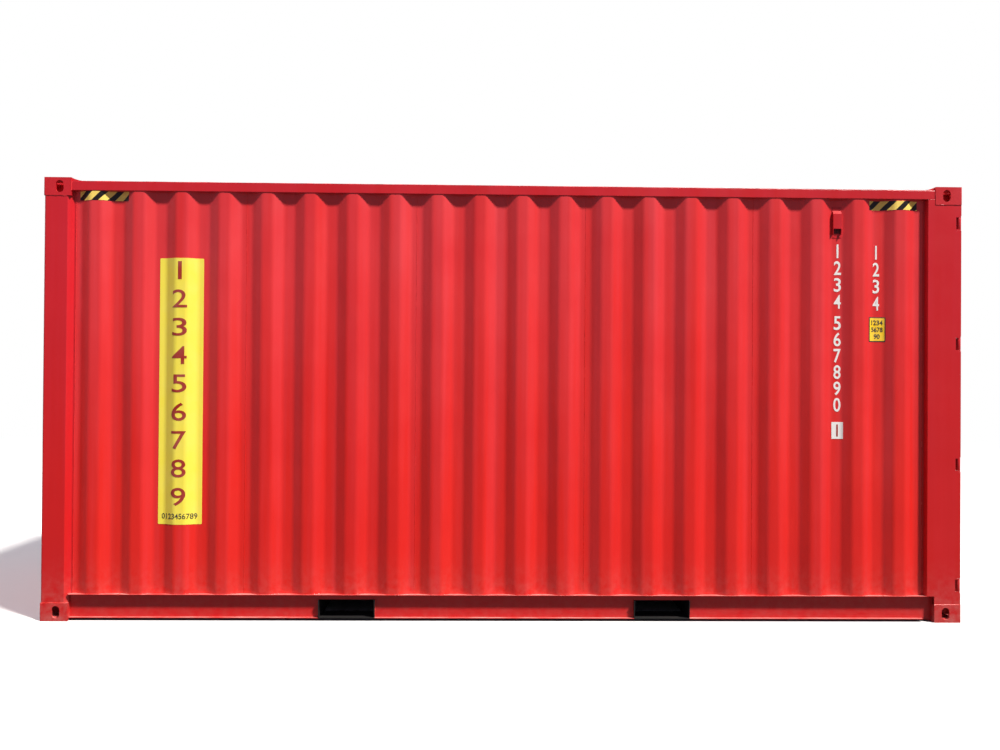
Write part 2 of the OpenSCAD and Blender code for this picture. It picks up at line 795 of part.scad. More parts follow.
module leaf_frame(side) {
    rail_path = [
        [leaf_inner, 0], [leaf_setback, 0], [leaf_setback, leaf_rail], [leaf_inner, leaf_rail]];
    color(red) at_corner(rear, side) {
        for (b = [leaf_edge, leaf_centre_edge - leaf_stile]) translate([leaf_setback, b, leaf_bottom])
            linear_extrude(leaf_top - leaf_bottom) difference() {
                square([leaf_thickness, leaf_stile]);
                offset(delta = -leaf_stile_wall) square([leaf_thickness, leaf_stile]);
            }
        for (z = [leaf_bottom, leaf_top - leaf_rail]) translate([0, 0, z])
            run_across(leaf_edge + leaf_stile, leaf_centre_edge - leaf_stile)
                plate_along(rail_path, leaf_rail_plate);
    }
}

// Panel of a leaf: a sheet with recessed bands across it
module leaf_panel(side) {
    outer = leaf_setback + leaf_sheet_inset;
    inner = outer + leaf_band_depth - leaf_sheet;
    path = [
        [outer, panel_bottom],
        for (i = [1 : leaf_bands], p = [
            [outer, 0], [inner, leaf_band_slope],
            [inner, leaf_band_slope + leaf_band_flat], [outer, band_height]])
                [p[0], panel_bottom + i * panel_flat + (i - 1) * band_height + p[1]],
        [outer, leaf_top - leaf_rail]];
    color(red) at_corner(rear, side)
        run_across(leaf_edge + leaf_stile, leaf_centre_edge - leaf_stile)
            plate_along(path, leaf_sheet);
}

module leaf_gasket(side) {
    color(black) at_corner(rear, side) difference() {
        translate([leaf_inner - gasket_depth, leaf_edge - gasket_lip, leaf_bottom - gasket_lip])
            cube([gasket_depth + gasket_proud, leaf_centre_edge - leaf_edge + 2 * gasket_lip,
                  leaf_top - leaf_bottom + 2 * gasket_lip]);
        translate([0, leaf_edge, leaf_bottom])
            cube([width, leaf_centre_edge - leaf_edge, leaf_top - leaf_bottom]);
    }
}

module leaf_hinges(side) {
    blade_face = leaf_setback - blade_plate;
    blade_height = cutout_height - 2 * (lug_plate + knuckle_clearance);
    color(red) for (z = hinge_levels()) at_corner(rear, side)
        translate([0, 0, z - blade_height / 2]) linear_extrude(blade_height) difference() {
            union() {
                polygon([
                    [leaf_setback, leaf_edge - blade_plate], [leaf_setback, leaf_edge + blade_length],
                    [blade_face, leaf_edge + blade_length], [blade_face, pin_from_side + knuckle_radius],
                    [pin_from_end, pin_from_side + knuckle_radius],
                    [pin_from_end + knuckle_radius, pin_from_side]]);
                translate([pin_from_end, pin_from_side]) circle(knuckle_radius);
            }
            translate([pin_from_end, pin_from_side]) circle(pin_radius + pin_clearance);
        }
}

module lock_rods(side) {
    low = cam_levels[0] - cam_height / 2;
    high = cam_levels[1] + cam_height / 2;
    color(zinc) for (b = rod_places()) at_corner(rear, side) translate([rod_from_end, b, 0])
        difference() {
            union() {
                translate([0, 0, low]) cylinder(h = high - low, r = rod_radius);
                for (z = cam_levels) translate([-cam_plate / 2, -cam_reach, z - cam_height / 2])
                    cube([cam_plate, 2 * cam_reach, cam_height]);
            }
            translate([0, 0, low - overcut])
                cylinder(h = high - low + 2 * overcut, r = rod_radius - rod_wall);
        }
}

module rod_brackets(side) {
    levels = [leaf_bottom + leaf_rail / 2, flat_centre(1), flat_centre(leaf_bands - 1),
              leaf_top - leaf_rail / 2];
    color(red) for (b = rod_places(), z = levels) at_corner(rear, side)
        translate([0, b, z - bracket_height / 2]) linear_extrude(bracket_height) difference() {
            union() {
                translate([rod_from_end, 0]) circle(bracket_radius);
                translate([leaf_setback - bracket_plate, -bracket_foot / 2])
                    square([bracket_plate, bracket_foot]);
            }
            translate([rod_from_end, 0]) circle(rod_radius + rod_clearance);
        }
}

// Handles: one on each rod, towards the other rod, at two levels
module handles(side) {
    color(zinc) for (k = [0, 1]) at_corner(rear, side)
        translate([rod_from_end, rod_places()[k], flat_centre(handle_flat) + handle_step * (k - 1 / 2)])
            mirror([0, k, 0]) {
                difference() {
                    union() {
                        translate([0, 0, -handle_bar / 2])
                            cylinder(h = handle_bar, r = handle_hub);
                        translate([-handle_plate / 2, 0, -handle_bar / 2])
                            cube([handle_plate, handle_length, handle_bar]);
                    }
                    translate([0, 0, -handle_bar])
                        cylinder(h = 2 * handle_bar, r = rod_radius);
                }
                for (s = [-1, 1]) translate([-handle_plate, handle_length - catch_width,
                        s * (handle_bar / 2 + catch_clearance + catch_plate / 2) - catch_plate / 2])
                    cube([leaf_setback + leaf_sheet_inset - rod_from_end + handle_plate,
                          catch_width, catch_plate]);
            }
}

fittings(front, false);  // fittings_front_bottom
fittings(front, true);  // fittings_front_top
fittings(rear, false);  // fittings_door_bottom
fittings(rear, true);  // fittings_door_top
front_post(left);  // front_post_left
front_post(right);  // front_post_right
door_post(left);  // door_post_left
door_post(right);  // door_post_right
bottom_rail(left);  // bottom_rail_left
bottom_rail(right);  // bottom_rail_right
top_rail(left);  // top_rail_left
top_rail(right);  // top_rail_right
front_sill();
front_header();
door_sill();
door_header();
cross_members();
fork_pocket(pocket_centres[0]);  // fork_pocket_front
fork_pocket(pocket_centres[1]);  // fork_pocket_rear
floor_boards();  // floor
side_wall(left);  // side_wall_left
side_wall(right);  // side_wall_right
front_wall();
roof();
roof_end_plates();
corner_plates();
ventilators();
hinge_lugs();
cam_keepers();
leaf_frame(left);  // leaf_frame_left
leaf_panel(left);  // leaf_panel_left
leaf_gasket(left);  // leaf_gasket_left
leaf_hinges(left);  // leaf_hinges_left
lock_rods(left);  // lock_rods_left
rod_brackets(left);  // rod_brackets_left
handles(left);  // handles_left
leaf_frame(right);  // leaf_frame_right
leaf_panel(right);  // leaf_panel_right
leaf_gasket(right);  // leaf_gasket_right
leaf_hinges(right);  // leaf_hinges_right
lock_rods(right);  // lock_rods_right
rod_brackets(right);  // rod_brackets_right
handles(right);  // handles_right
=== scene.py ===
import math
import random
from itertools import count

import bpy
from mathutils import Matrix, Vector


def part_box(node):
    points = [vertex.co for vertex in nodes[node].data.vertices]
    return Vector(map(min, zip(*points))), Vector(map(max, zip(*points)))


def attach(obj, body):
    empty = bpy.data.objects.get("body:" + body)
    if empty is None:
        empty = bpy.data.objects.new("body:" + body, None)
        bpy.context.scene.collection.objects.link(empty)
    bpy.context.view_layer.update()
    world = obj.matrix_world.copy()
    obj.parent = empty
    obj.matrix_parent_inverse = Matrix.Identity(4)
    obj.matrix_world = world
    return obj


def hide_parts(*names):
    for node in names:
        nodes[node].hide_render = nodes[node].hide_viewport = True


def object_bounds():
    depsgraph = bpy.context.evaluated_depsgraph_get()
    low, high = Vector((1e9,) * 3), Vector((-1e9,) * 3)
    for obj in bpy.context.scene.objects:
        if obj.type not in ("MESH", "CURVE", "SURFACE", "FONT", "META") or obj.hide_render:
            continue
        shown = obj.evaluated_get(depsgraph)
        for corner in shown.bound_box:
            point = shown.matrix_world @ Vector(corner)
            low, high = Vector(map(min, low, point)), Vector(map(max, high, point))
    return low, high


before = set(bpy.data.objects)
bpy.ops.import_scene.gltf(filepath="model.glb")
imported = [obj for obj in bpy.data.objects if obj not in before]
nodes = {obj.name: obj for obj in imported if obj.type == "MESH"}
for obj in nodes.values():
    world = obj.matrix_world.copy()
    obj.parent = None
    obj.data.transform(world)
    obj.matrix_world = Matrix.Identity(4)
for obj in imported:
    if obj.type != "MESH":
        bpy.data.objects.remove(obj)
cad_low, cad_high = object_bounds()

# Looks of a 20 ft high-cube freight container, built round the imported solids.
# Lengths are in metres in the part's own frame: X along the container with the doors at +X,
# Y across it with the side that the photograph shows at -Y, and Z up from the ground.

scene = bpy.context.scene

LENGTH, WIDTH, HEIGHT = (cad_high[i] - cad_low[i] for i in range(3))
HALF_X, HALF_Y = LENGTH / 2, WIDTH / 2
SIDES = {-1: "left", 1: "right"}
PHOTO_SIDE = -1
X, Y, Z = range(3)


# Places on the container that more than one piece of dressing needs

# Faces of the corrugated side walls: how far the outer flats and the valleys lie inside the width
WALL_FACE = 0.008
WALL_VALLEY = 0.042
# Corrugation of the side walls: middle of the first valley along X, and the pitch
FIRST_VALLEY = -2.5548
PITCH = 0.2797
# Heights of the bottom rail's top, and of the top rail's foot and top
LEVEL_RAIL = 0.175
LEVEL_TUBE = 2.812
LEVEL_TOP = 2.872
# Corner fittings: along, across, high
FITTING_LONG, FITTING_WIDE, FITTING_HIGH = 0.178, 0.162, 0.118
# Where the posts end on a long side, from the container's end
FRONT_POST_BACK, DOOR_POST_BACK = 0.197, 0.248
FRONT_POST_FACE = 0.155
# Door leaves: outer face along X, edges of the panel, blades and levels of the hinges
LEAF_X = HALF_X - 0.050
PANEL_OUTER, PANEL_INNER = HALF_Y - 0.136, 0.113
PANEL_FOOT, PANEL_HEAD = 0.304, 2.615
BLADE_OUTER, BLADE_INNER = HALF_Y - 0.040, HALF_Y - 0.226
BLADE_HALF = 0.0355
HINGE_LEVELS = [0.246 + i * (2.655 - 0.246) / 3 for i in range(4)]
# Lock rods: axes along X and across Y
ROD_X = HALF_X - 0.027
ROD_OUTER, ROD_INNER = HALF_Y - 0.296, 0.273


# Colours


def srgb(r, g, b):
    """A colour given as 0 to 255 on screen, as linear light."""
    def lin(c):
        c /= 255
        return c / 12.92 if c <= 0.04045 else ((c + 0.055) / 1.055) ** 2.4

    return (lin(r), lin(g), lin(b), 1.0)


# The second red of each set, cooler and paler, is painted sky reflection that spray_tone mixes in
# higher up
RED = srgb(222, 32, 22)
RED_SKY_SHEEN = srgb(224, 60, 66)
RED_DEEP = srgb(204, 16, 18)
RAIL_RED = srgb(202, 20, 20)
RAIL_SKY_SHEEN = srgb(204, 32, 44)
RAIL_DEEP = srgb(184, 10, 16)
DUST = srgb(196, 176, 166)


# Node trees: small helpers so that each material reads as a list of what it does


class Tree:
    def __init__(self, tree):
        self.tree = tree

    def add(self, kind, inputs=None, **settings):
        node = self.tree.nodes.new(kind)
        for name, value in settings.items():
            setattr(node, name, value)
        for name, value in (inputs or {}).items():
            self.feed(node, name, value)
        return node

    def feed(self, node, name, value):
        socket = node.inputs[name]
        if isinstance(value, bpy.types.NodeSocket):
            self.tree.links.new(value, socket)
        else:
            socket.default_value = value

    def math(self, operation, a, b=0.0, clamp=False):
        node = self.add("ShaderNodeMath", {0: a, 1: b}, operation=operation, use_clamp=clamp)
        return node.outputs[0]

    def product(self, a, b):
        return self.math("MULTIPLY", a, b)

    def blend(self, factor, a, b, blend_type="MIX"):
        node = self.add("ShaderNodeMix", data_type="RGBA", blend_type=blend_type)
        self.feed(node, 0, factor)
        self.feed(node, 6, a)
        self.feed(node, 7, b)
        return node.outputs[2]

    def spread(self, value, low, high, to_low=0.0, to_high=1.0):
        return self.add("ShaderNodeMapRange", {
            "Value": value, "From Min": low, "From Max": high,
            "To Min": to_low, "To Max": to_high}).outputs[0]

    def noise(self, vector, scale, detail=3.0, roughness=0.5):
        return self.add("ShaderNodeTexNoise", {
            "Vector": vector, "Scale": scale, "Detail": detail, "Roughness": roughness}).outputs[0]

    def stretch(self, vector, scale):
        node = self.add("ShaderNodeVectorMath", {0: vector, 1: scale}, operation="MULTIPLY")
        return node.outputs[0]

    def bump(self, shader, height, strength, distance):
        """Feeds the shader's normal from a height."""
        node = self.add("ShaderNodeBump", {
            "Height": height, "Strength": strength, "Distance": distance})
        self.feed(shader, "Normal", node.outputs[0])

    def axis(self, vector, which):
        return self.add("ShaderNodeSeparateXYZ", {0: vector}).outputs[which]


def effect(name, inputs, outputs):
    """A shader node group with named sockets. Returns the group, its tree helper and its inputs."""
    group = bpy.data.node_groups.new(name, "ShaderNodeTree")
    for label, kind in inputs:
        group.interface.new_socket(label, in_out="INPUT", socket_type="NodeSocket" + kind)
    for label, kind in outputs:
        group.interface.new_socket(label, in_out="OUTPUT", socket_type="NodeSocket" + kind)
    tree = Tree(group)
    way_in = tree.add("NodeGroupInput")
    way_out = tree.add("NodeGroupOutput")
    return group, tree, way_in.outputs, way_out


def use(tree, group, inputs):
    """Places an effect in a material and returns its outputs."""
    node = tree.add("ShaderNodeGroup", node_tree=group)
    for name, value in inputs.items():
        tree.feed(node, name, value)
    return node.outputs


def new_material(name):
    mat = bpy.data.materials.new(name)
    mat.use_nodes = True
    tree = Tree(mat.node_tree)
    shader = mat.node_tree.nodes["Principled BSDF"]
    where = tree.add("ShaderNodeTexCoord").outputs["Object"]
    return mat, tree, shader, where


# Effects that several materials share


def make_spray_tone():
    """Sprayed paint: wide soft patches and faint upright streaks. Higher up, a cooler, paler red is
    painted in as sky reflection, with random drift.
    """
    group, t, i, out = effect(
        "spray_tone",
        [("Vector", "Vector"), ("Colour", "Color"), ("Sheen", "Color"), ("Deep", "Color"),
         ("Patches", "Float")],
        [("Colour", "Color")])
    high = t.spread(t.axis(i["Vector"], Z), 0.6, 2.9)
    bands = t.noise(t.stretch(i["Vector"], (12.0, 12.0, 0.3)), 1.0, 3.0, 0.6)
    drift = t.spread(bands, 0.3, 0.7, -0.3, 0.35)
    # Painted sky reflection: the cooler red grows with height, plus random drift
    sheen_and_drift = t.math("ADD", t.product(high, 0.8), drift, clamp=True)
    tone = t.blend(sheen_and_drift, i["Colour"], i["Sheen"])
    patches = t.spread(t.noise(i["Vector"], 1.3, 4.0, 0.55), 0.38, 0.68)
    runs = t.noise(t.stretch(i["Vector"], (7.0, 7.0, 0.35)), 1.0, 4.0, 0.6)
    streaks = t.spread(runs, 0.4, 0.75)
    both = t.math("ADD", t.product(patches, 0.6), t.product(streaks, 0.4))
    amount = t.product(both, i["Patches"])
    t.feed(out, "Colour", t.blend(amount, tone, i["Deep"]))
    return group


def make_orange_peel():
    """Height of a sprayed skin: fine orange peel over long dents of thin sheet, and its gloss."""
    group, t, i, out = effect(
        "orange_peel",
        [("Vector", "Vector"), ("Grain", "Float"), ("Waves", "Float"), ("Roughness", "Float")],
        [("Height", "Float"), ("Roughness", "Float")])
    grain = t.product(t.noise(i["Vector"], 420.0, 2.0, 0.5), i["Grain"])
    dents = t.noise(t.stretch(i["Vector"], (5.0, 5.0, 1.6)), 1.0, 2.0, 0.45)
    t.feed(out, "Height", t.math("ADD", grain, t.product(dents, i["Waves"])))
    gloss = t.spread(t.noise(i["Vector"], 3.1, 4.0, 0.6), 0.3, 0.7, -0.06, 0.07)
    t.feed(out, "Roughness", t.math("ADD", i["Roughness"], gloss))
    return group


def make_road_dust():
    """Dust that is thrown up near the ground and lies on faces that look up."""
    group, t, i, out = effect(
        "road_dust",
        [("Vector", "Vector"), ("Reach", "Float"), ("Thrown", "Float"), ("Settled", "Float")],
        [("Mask", "Float")])
    low = t.math("SUBTRACT", 1.0, t.math("DIVIDE", t.axis(i["Vector"], Z), i["Reach"]), clamp=True)
    spots = t.spread(t.noise(i["Vector"], 22.0, 6.0, 0.7), 0.35, 0.8)
    thrown = t.product(t.product(t.math("POWER", low, 2.0), spots), i["Thrown"])
    facing = t.add("ShaderNodeNewGeometry").outputs["Normal"]
    up = t.spread(t.axis(facing, Z), 0.55, 0.95)
    lie = t.spread(t.noise(i["Vector"], 5.0, 6.0, 0.65), 0.3, 0.75)
    settled = t.product(t.product(up, lie), i["Settled"])
    t.feed(out, "Mask", t.math("ADD", thrown, settled, clamp=True))
    return group


SPRAY_TONE = make_spray_tone()
ORANGE_PEEL = make_orange_peel()
ROAD_DUST = make_road_dust()


# Finishes


GRAIN_HEIGHT = 0.00012
WAVE_HEIGHT = 0.004
DUST_REACH = 0.5
COAT, COAT_ROUGHNESS = 0.12, 0.22


def red_paint(name, roughness=0.36, grain=1.0, waves=1.0, patches=0.35, thrown=0.35, settled=0.35,
              tones=(RED, RED_SKY_SHEEN, RED_DEEP)):
    """Gloss red. tones: the paint's own tone, a cooler one painted in higher up as sky reflection,
    one for deeper patches.
    """
    mat, t, shader, where = new_material(name)
    colour = use(t, SPRAY_TONE, {
        "Vector": where, "Colour": tones[0], "Sheen": tones[1], "Deep": tones[2],
        "Patches": patches})["Colour"]
    skin = use(t, ORANGE_PEEL, {
        "Vector": where, "Grain": GRAIN_HEIGHT * grain, "Waves": WAVE_HEIGHT * waves,
        "Roughness": roughness})
    dust = use(t, ROAD_DUST, {
        "Vector": where, "Reach": DUST_REACH, "Thrown": thrown, "Settled": settled})["Mask"]
    t.feed(shader, "Base Color", t.blend(dust, colour, DUST))
    t.feed(shader, "Roughness", t.math("ADD", skin["Roughness"], t.product(dust, 0.4)))
    t.bump(shader, skin["Height"], 1.0, 1.0)
    t.feed(shader, "Coat Weight", COAT)
    t.feed(shader, "Coat Roughness", COAT_ROUGHNESS)
    return mat


def under_coat():
    """Tarry black coat, sprayed on everything below the floor: lumpy, dull, with dried mud."""
    mat, t, shader, where = new_material("under_coat")
    lumps = t.noise(where, 46.0, 6.0, 0.7)
    mud = t.spread(t.noise(where, 3.4, 6.0, 0.65), 0.5, 0.8)
    colour = t.blend(t.product(mud, 0.3), srgb(17, 14, 14), srgb(66, 52, 44))
    t.feed(shader, "Base Color", colour)
    t.feed(shader, "Roughness", t.spread(lumps, 0.3, 0.7, 0.55, 0.85))
    t.bump(shader, lumps, 0.6, 0.0015)
    return mat


def zinc_finish():
    """Galvanized steel: small spangles under a grey smear."""
    mat, t, shader, where = new_material("zinc_plate")
    spangle = t.add("ShaderNodeTexVoronoi", {"Vector": where, "Scale": 240.0}).outputs["Color"]
    colour = t.blend(t.axis(spangle, 0), srgb(182, 185, 187), srgb(208, 210, 211))
    smear = t.spread(t.noise(where, 14.0, 5.0, 0.6), 0.4, 0.8)
    t.feed(shader, "Base Color", t.blend(t.product(smear, 0.3), colour, srgb(140, 138, 134)))
    t.feed(shader, "Roughness", t.spread(smear, 0.0, 1.0, 0.32, 0.55))
    t.feed(shader, "Metallic", 0.45)
    t.bump(shader, t.noise(where, 300.0), 0.25, 0.0004)
    return mat


def rubber_finish():
    """Black rubber with a pale bloom."""
    mat, t, shader, where = new_material("seal_rubber")
    bloom = t.spread(t.noise(where, 30.0, 5.0, 0.6), 0.4, 0.75)
    colour = t.blend(t.product(bloom, 0.4), srgb(26, 26, 27), srgb(62, 60, 58))
    t.feed(shader, "Base Color", colour)
    t.feed(shader, "Roughness", t.spread(bloom, 0.0, 1.0, 0.55, 0.8))
    t.bump(shader, t.noise(where, 500.0), 0.3, 0.0003)
    return mat


def plywood_finish():
    """Floor boards 2.4 m long and 0.58 m wide, with grain along X and dark seams."""
    mat, t, shader, where = new_material("plywood_boards")
    grain = t.noise(t.stretch(where, (2.2, 38.0, 38.0)), 1.0, 8.0, 0.65)
    fine = t.noise(t.stretch(where, (9.0, 260.0, 260.0)), 1.0, 4.0, 0.6)
    wood = t.blend(t.spread(grain, 0.3, 0.7), srgb(120, 74, 46), srgb(168, 112, 74))
    wood = t.blend(t.product(fine, 0.35), wood, srgb(84, 50, 32))
    board = t.add("ShaderNodeTexBrick", {
        "Vector": where, "Color1": (1, 1, 1, 1), "Color2": (0.82, 0.82, 0.82, 1),
        "Mortar": (0.1, 0.1, 0.1, 1), "Scale": 1.0, "Mortar Size": 0.004,
        "Brick Width": 2.4, "Row Height": 0.583, "Bias": 0.0})
    t.feed(shader, "Base Color", t.blend(1.0, wood, board.outputs["Color"], "MULTIPLY"))
    t.feed(shader, "Roughness", t.spread(grain, 0.2, 0.8, 0.45, 0.7))
    t.bump(shader, t.math("SUBTRACT", t.product(fine, 0.3), board.outputs["Fac"]), 0.6, 0.002)
    return mat


# RAIL_TONES: a deeper copy of the sheets' red
RAIL_TONES = (RAIL_RED, RAIL_SKY_SHEEN, RAIL_DEEP)
PAINT = red_paint("red_paint", tones=RAIL_TONES)
PAINT_SHEET = red_paint("red_paint_sheet", waves=1.6, patches=0.55)
PAINT_CAST = red_paint(
    "red_paint_cast", roughness=0.42, grain=5.0, waves=0.4, patches=0.5, tones=RAIL_TONES)
PAINT_RAIL = red_paint("red_paint_rail", waves=0.8, thrown=0.12, settled=0.8, tones=RAIL_TONES)
# Roof: the deeper red is painted shade that holds back the strong light from above
PAINT_ROOF = red_paint("red_paint_roof", roughness=0.5, waves=1.4, settled=0.16, tones=RAIL_TONES)
UNDER_COAT = under_coat()
ZINC = zinc_finish()
RUBBER = rubber_finish()
PLYWOOD = plywood_finish()

FINISHES = {
    "fittings": PAINT_CAST,
    "side_wall": PAINT_SHEET, "front_wall": PAINT_SHEET, "leaf_panel": PAINT_SHEET,
    "roof": PAINT_ROOF, "corner_plates": PAINT_ROOF,
    "cross_members": UNDER_COAT, "fork_pocket": UNDER_COAT,
    "bottom_rail": PAINT_RAIL, "front_sill": PAINT_RAIL, "door_sill": PAINT_RAIL,
    "leaf_gasket": RUBBER, "lock_rods": ZINC, "handles": ZINC, "floor": PLYWOOD,
}


def by_start(table, name, otherwise):
    """The entry of a table whose key begins the name."""
    return next((value for start, value in table.items() if name.startswith(start)), otherwise)


def finish_nodes():
    for name, piece in nodes.items():
        mat = by_start(FINISHES, name, PAINT)
        piece.data.materials.clear()
        piece.data.materials.append(mat)


finish_nodes()


# Modelling helpers


# Vertices closer than this are one, and an edge sharper than this is rounded
MERGE = 0.00005
EDGE_ANGLE = math.radians(50)
# Angles in degrees up to which faces are shaded smooth: bent sheets, beads of welds, small heads
SMOOTH_SHEET, SMOOTH_BEAD, SMOOTH_HEAD = 18, 60, 50


def select(*pieces):
    """Selects these pieces and no other. The first one is active."""
    bpy.ops.object.select_all(action="DESELECT")
    for piece in pieces:
        piece.select_set(True)
    bpy.context.view_layer.objects.active = pieces[0]


def edit(piece):
    select(piece)
    bpy.ops.object.mode_set(mode="EDIT")


def end_edit():
    bpy.ops.object.mode_set(mode="OBJECT")


def pick_all():
    bpy.ops.mesh.select_all(action="SELECT")


def face_outwards():
    pick_all()
    bpy.ops.mesh.normals_make_consistent(inside=False)


def pick(piece, kind, test):
    """Selects the edges or polygons of the piece being edited for which test is true."""
    bpy.ops.mesh.select_mode(type={"edges": "EDGE", "polygons": "FACE"}[kind])
    bpy.ops.mesh.select_all(action="DESELECT")
    end_edit()
    for part in getattr(piece.data, kind):
        part.select = bool(test(part))
    bpy.ops.object.mode_set(mode="EDIT")


def edge_ends(piece, part):
    return [piece.data.vertices[i].co for i in part.vertices]


def extent(piece, axis):
    """Where a piece begins and ends along an axis."""
    places = [v.co[axis] for v in piece.data.vertices]
    return min(places), max(places)


def extrude(move):
    bpy.ops.mesh.extrude_region_move(TRANSFORM_OT_translate={"value": move})


def facing(direction, spot):
    """Placement that turns +Z towards the direction and moves the origin to the spot."""
    turn = Vector(direction).to_track_quat("Z", "Y").to_matrix().to_4x4()
    return Matrix.Translation(spot) @ turn


def into_mesh(piece):
    """Puts the piece's place, turn and size into its mesh."""
    select(piece)
    bpy.ops.object.transform_apply(location=True, rotation=True, scale=True)
    return piece


def add_modifier(piece, name, kind, **settings):
    modifier = piece.modifiers.new(name, kind)
    for key, value in settings.items():
        setattr(modifier, key, value)


def apply_modifier(piece, name, kind, **settings):
    add_modifier(piece, name, kind, **settings)
    select(piece)
    bpy.ops.object.modifier_apply(modifier=name)


def join(name, pieces):
    select(*pieces)
    if len(pieces) > 1:
        bpy.ops.object.join()
    made = bpy.context.view_layer.objects.active
    made.name = made.data.name = name
    return made


def copies(name, pattern, places):
    """One piece made of copies of the pattern, one at each place. The pattern itself goes."""
    made = []
    for place in places:
        piece = pattern.copy()
        piece.data = pattern.data.copy()
        piece.data.transform(place)
        if place.determinant() < 0:
            piece.data.flip_normals()
        scene.collection.objects.link(piece)
        made.append(piece)
    bpy.data.objects.remove(pattern)
    return join(name, made)


def finish_piece(piece, mat, body, smooth=None):
    """Gives a piece its material and body, and smooth shading up to an angle in degrees."""
    piece.data.materials.clear()
    piece.data.materials.append(mat)
    if smooth is not None:
        select(piece)
        bpy.ops.object.shade_smooth_by_angle(angle=math.radians(smooth))
    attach(piece, body)
    return piece


# Pressed sheets: corrugated sheets whose bends are rounded, in place of the sharp-edged solids

BEND_REACH = 0.013
ROOF_BEND_REACH = 0.006
BEND_STEPS = 4
SHEET_EDGE = 0.004


def pressed_sheet(node, body, across, along, long_edge, reach=BEND_REACH, mat=PAINT_SHEET):
    """Copy of a corrugated node with rounded bends. The bends run along one axis and follow each
    other across another. Edges shorter than long_edge are left as they are."""
    sheet = nodes[node].copy()
    sheet.data = nodes[node].data.copy()
    scene.collection.objects.link(sheet)
    sheet.name = sheet.data.name = node + "_pressed"
    edit(sheet)
    pick_all()
    bpy.ops.mesh.remove_doubles(threshold=MERGE)
    bpy.ops.mesh.dissolve_limited(angle_limit=math.radians(1.0))
    end_edit()
    low, high = extent(sheet, across)

    def bend(edge):
        a, b = edge_ends(sheet, edge)
        inside = low + SHEET_EDGE < a[across] < high - SHEET_EDGE
        straight = abs(a[across] - b[across]) < 0.001
        return inside and straight and abs(a[along] - b[along]) > long_edge

    edit(sheet)
    pick(sheet, "edges", bend)
    bpy.ops.mesh.bevel(offset=reach, segments=BEND_STEPS, affect="EDGES")
    face_outwards()
    end_edit()
    finish_piece(sheet, mat, body, smooth=SMOOTH_SHEET)
    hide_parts(node)
    return sheet


SHEETS = {side: pressed_sheet("side_wall_" + word, "root", X, Z, 1.0)
          for side, word in SIDES.items()}
pressed_sheet("front_wall", "root", Y, Z, 1.0)
pressed_sheet("roof", "root", X, Y, 1.0, reach=ROOF_BEND_REACH, mat=PAINT_ROOF)
for word in SIDES.values():
    pressed_sheet("leaf_panel_" + word, "leaf_" + word, Z, Y, 0.5)


# Decals: film cut to size, laid over the corrugation of a side wall

FILM = 0.0005
# How high a film lies above the sheet: on the sheet, on another film, on a film upon a film
ON_SHEET, ON_FILM, ON_LABEL = 0.0008, 0.0018, 0.0028
TURN_UPRIGHT = math.radians(90)
# Digits whose outline closes up when the stroke is made much heavier
CLOSED_DIGITS = "4"
CLOSED_WEIGHT = 0.006
# Width of a "1" as a share of the other digits' width
NARROW = 0.26
# A film starts flat, this far inside the container's width, and is cut at each bend and beside it
FILM_START = 0.004
CUTS, CUT_PITCH = (-2, -1, 0, 1, 2), BEND_REACH * 0.45


def wall_depths(side):
    """The outer face of a side wall: each place along X at which it bends, and its Y there."""
    faces = [HALF_Y - WALL_FACE, HALF_Y - WALL_VALLEY]
    spots = [v.co for v in nodes["side_wall_" + SIDES[side]].data.vertices]
    return {round(s.x, 4): abs(s.y) for s in spots
            if any(abs(abs(s.y) - y) < 0.0004 for y in faces)}


def lay_on_wall(film, side, lift):
    """Cuts a flat upright film at the wall's bends, presses it on the wall and makes it thick."""
    low_x, high_x = extent(film, X)
    edit(film)
    for bend in sorted(wall_depths(side)):
        for step in CUTS:
            x = bend + step * CUT_PITCH
            if low_x + 1e-4 < x < high_x - 1e-4:
                pick_all()
                bpy.ops.mesh.bisect(plane_co=(x, 0, 0), plane_no=(1, 0, 0))
    end_edit()
    apply_modifier(film, "press", "SHRINKWRAP", target=SHEETS[side], offset=lift,
                   wrap_method="PROJECT", wrap_mode="ABOVE_SURFACE", use_project_y=True,
                   use_negative_direction=True)
    apply_modifier(film, "film", "SOLIDIFY", thickness=FILM, offset=1.0)
    return film


def upright_place(side, x, z):
    """Placement that stands a flat piece up just outside a side wall, facing outwards."""
    turn = Matrix.Rotation(TURN_UPRIGHT, 4, "X")
    if side > 0:
        turn = Matrix.Rotation(math.pi, 4, "Z") @ turn
    return Matrix.Translation((x, side * (HALF_Y - FILM_START), z)) @ turn


def film_sheet(name, side, x_from, x_to, z_from, z_to, lift, corner=0.0):
    """A film with cut corners, flat and upright just outside the wall, then laid on it."""
    bpy.ops.mesh.primitive_plane_add(size=1.0)
    film = bpy.context.object
    film.name = film.data.name = name
    film.scale = (x_to - x_from, z_to - z_from, 1.0)
    into_mesh(film)
    if corner:
        edit(film)
        pick_all()
        bpy.ops.mesh.bevel(offset=corner, segments=3, affect="VERTICES")
        end_edit()
    film.matrix_world = upright_place(side, (x_from + x_to) / 2, (z_from + z_to) / 2)
    into_mesh(film)
    return lay_on_wall(film, side, lift)


def mark(text, x, z, width, height, weight):
    """One mark as a flat upright mesh of the given size, before it is laid on the wall."""
    bpy.ops.object.text_add()
    letter = bpy.context.object
    letter.data.body = text
    letter.data.align_x = "CENTER"
    letter.data.align_y = "CENTER"
    letter.data.resolution_u = 5
    letter.data.offset = min(weight, CLOSED_WEIGHT) if text in CLOSED_DIGITS else weight
    select(letter)
    bpy.ops.object.convert(target="MESH")
    letter = bpy.context.object
    bpy.ops.object.shade_flat()
    (left, right), (foot, head) = extent(letter, X), extent(letter, Y)
    centre = Matrix.Translation((-(left + right) / 2, -(foot + head) / 2, 0))
    size = Matrix.Diagonal((width / (right - left), height / (head - foot), 1, 1))
    letter.data.transform(upright_place(PHOTO_SIDE, x, z) @ size @ centre)
    return letter


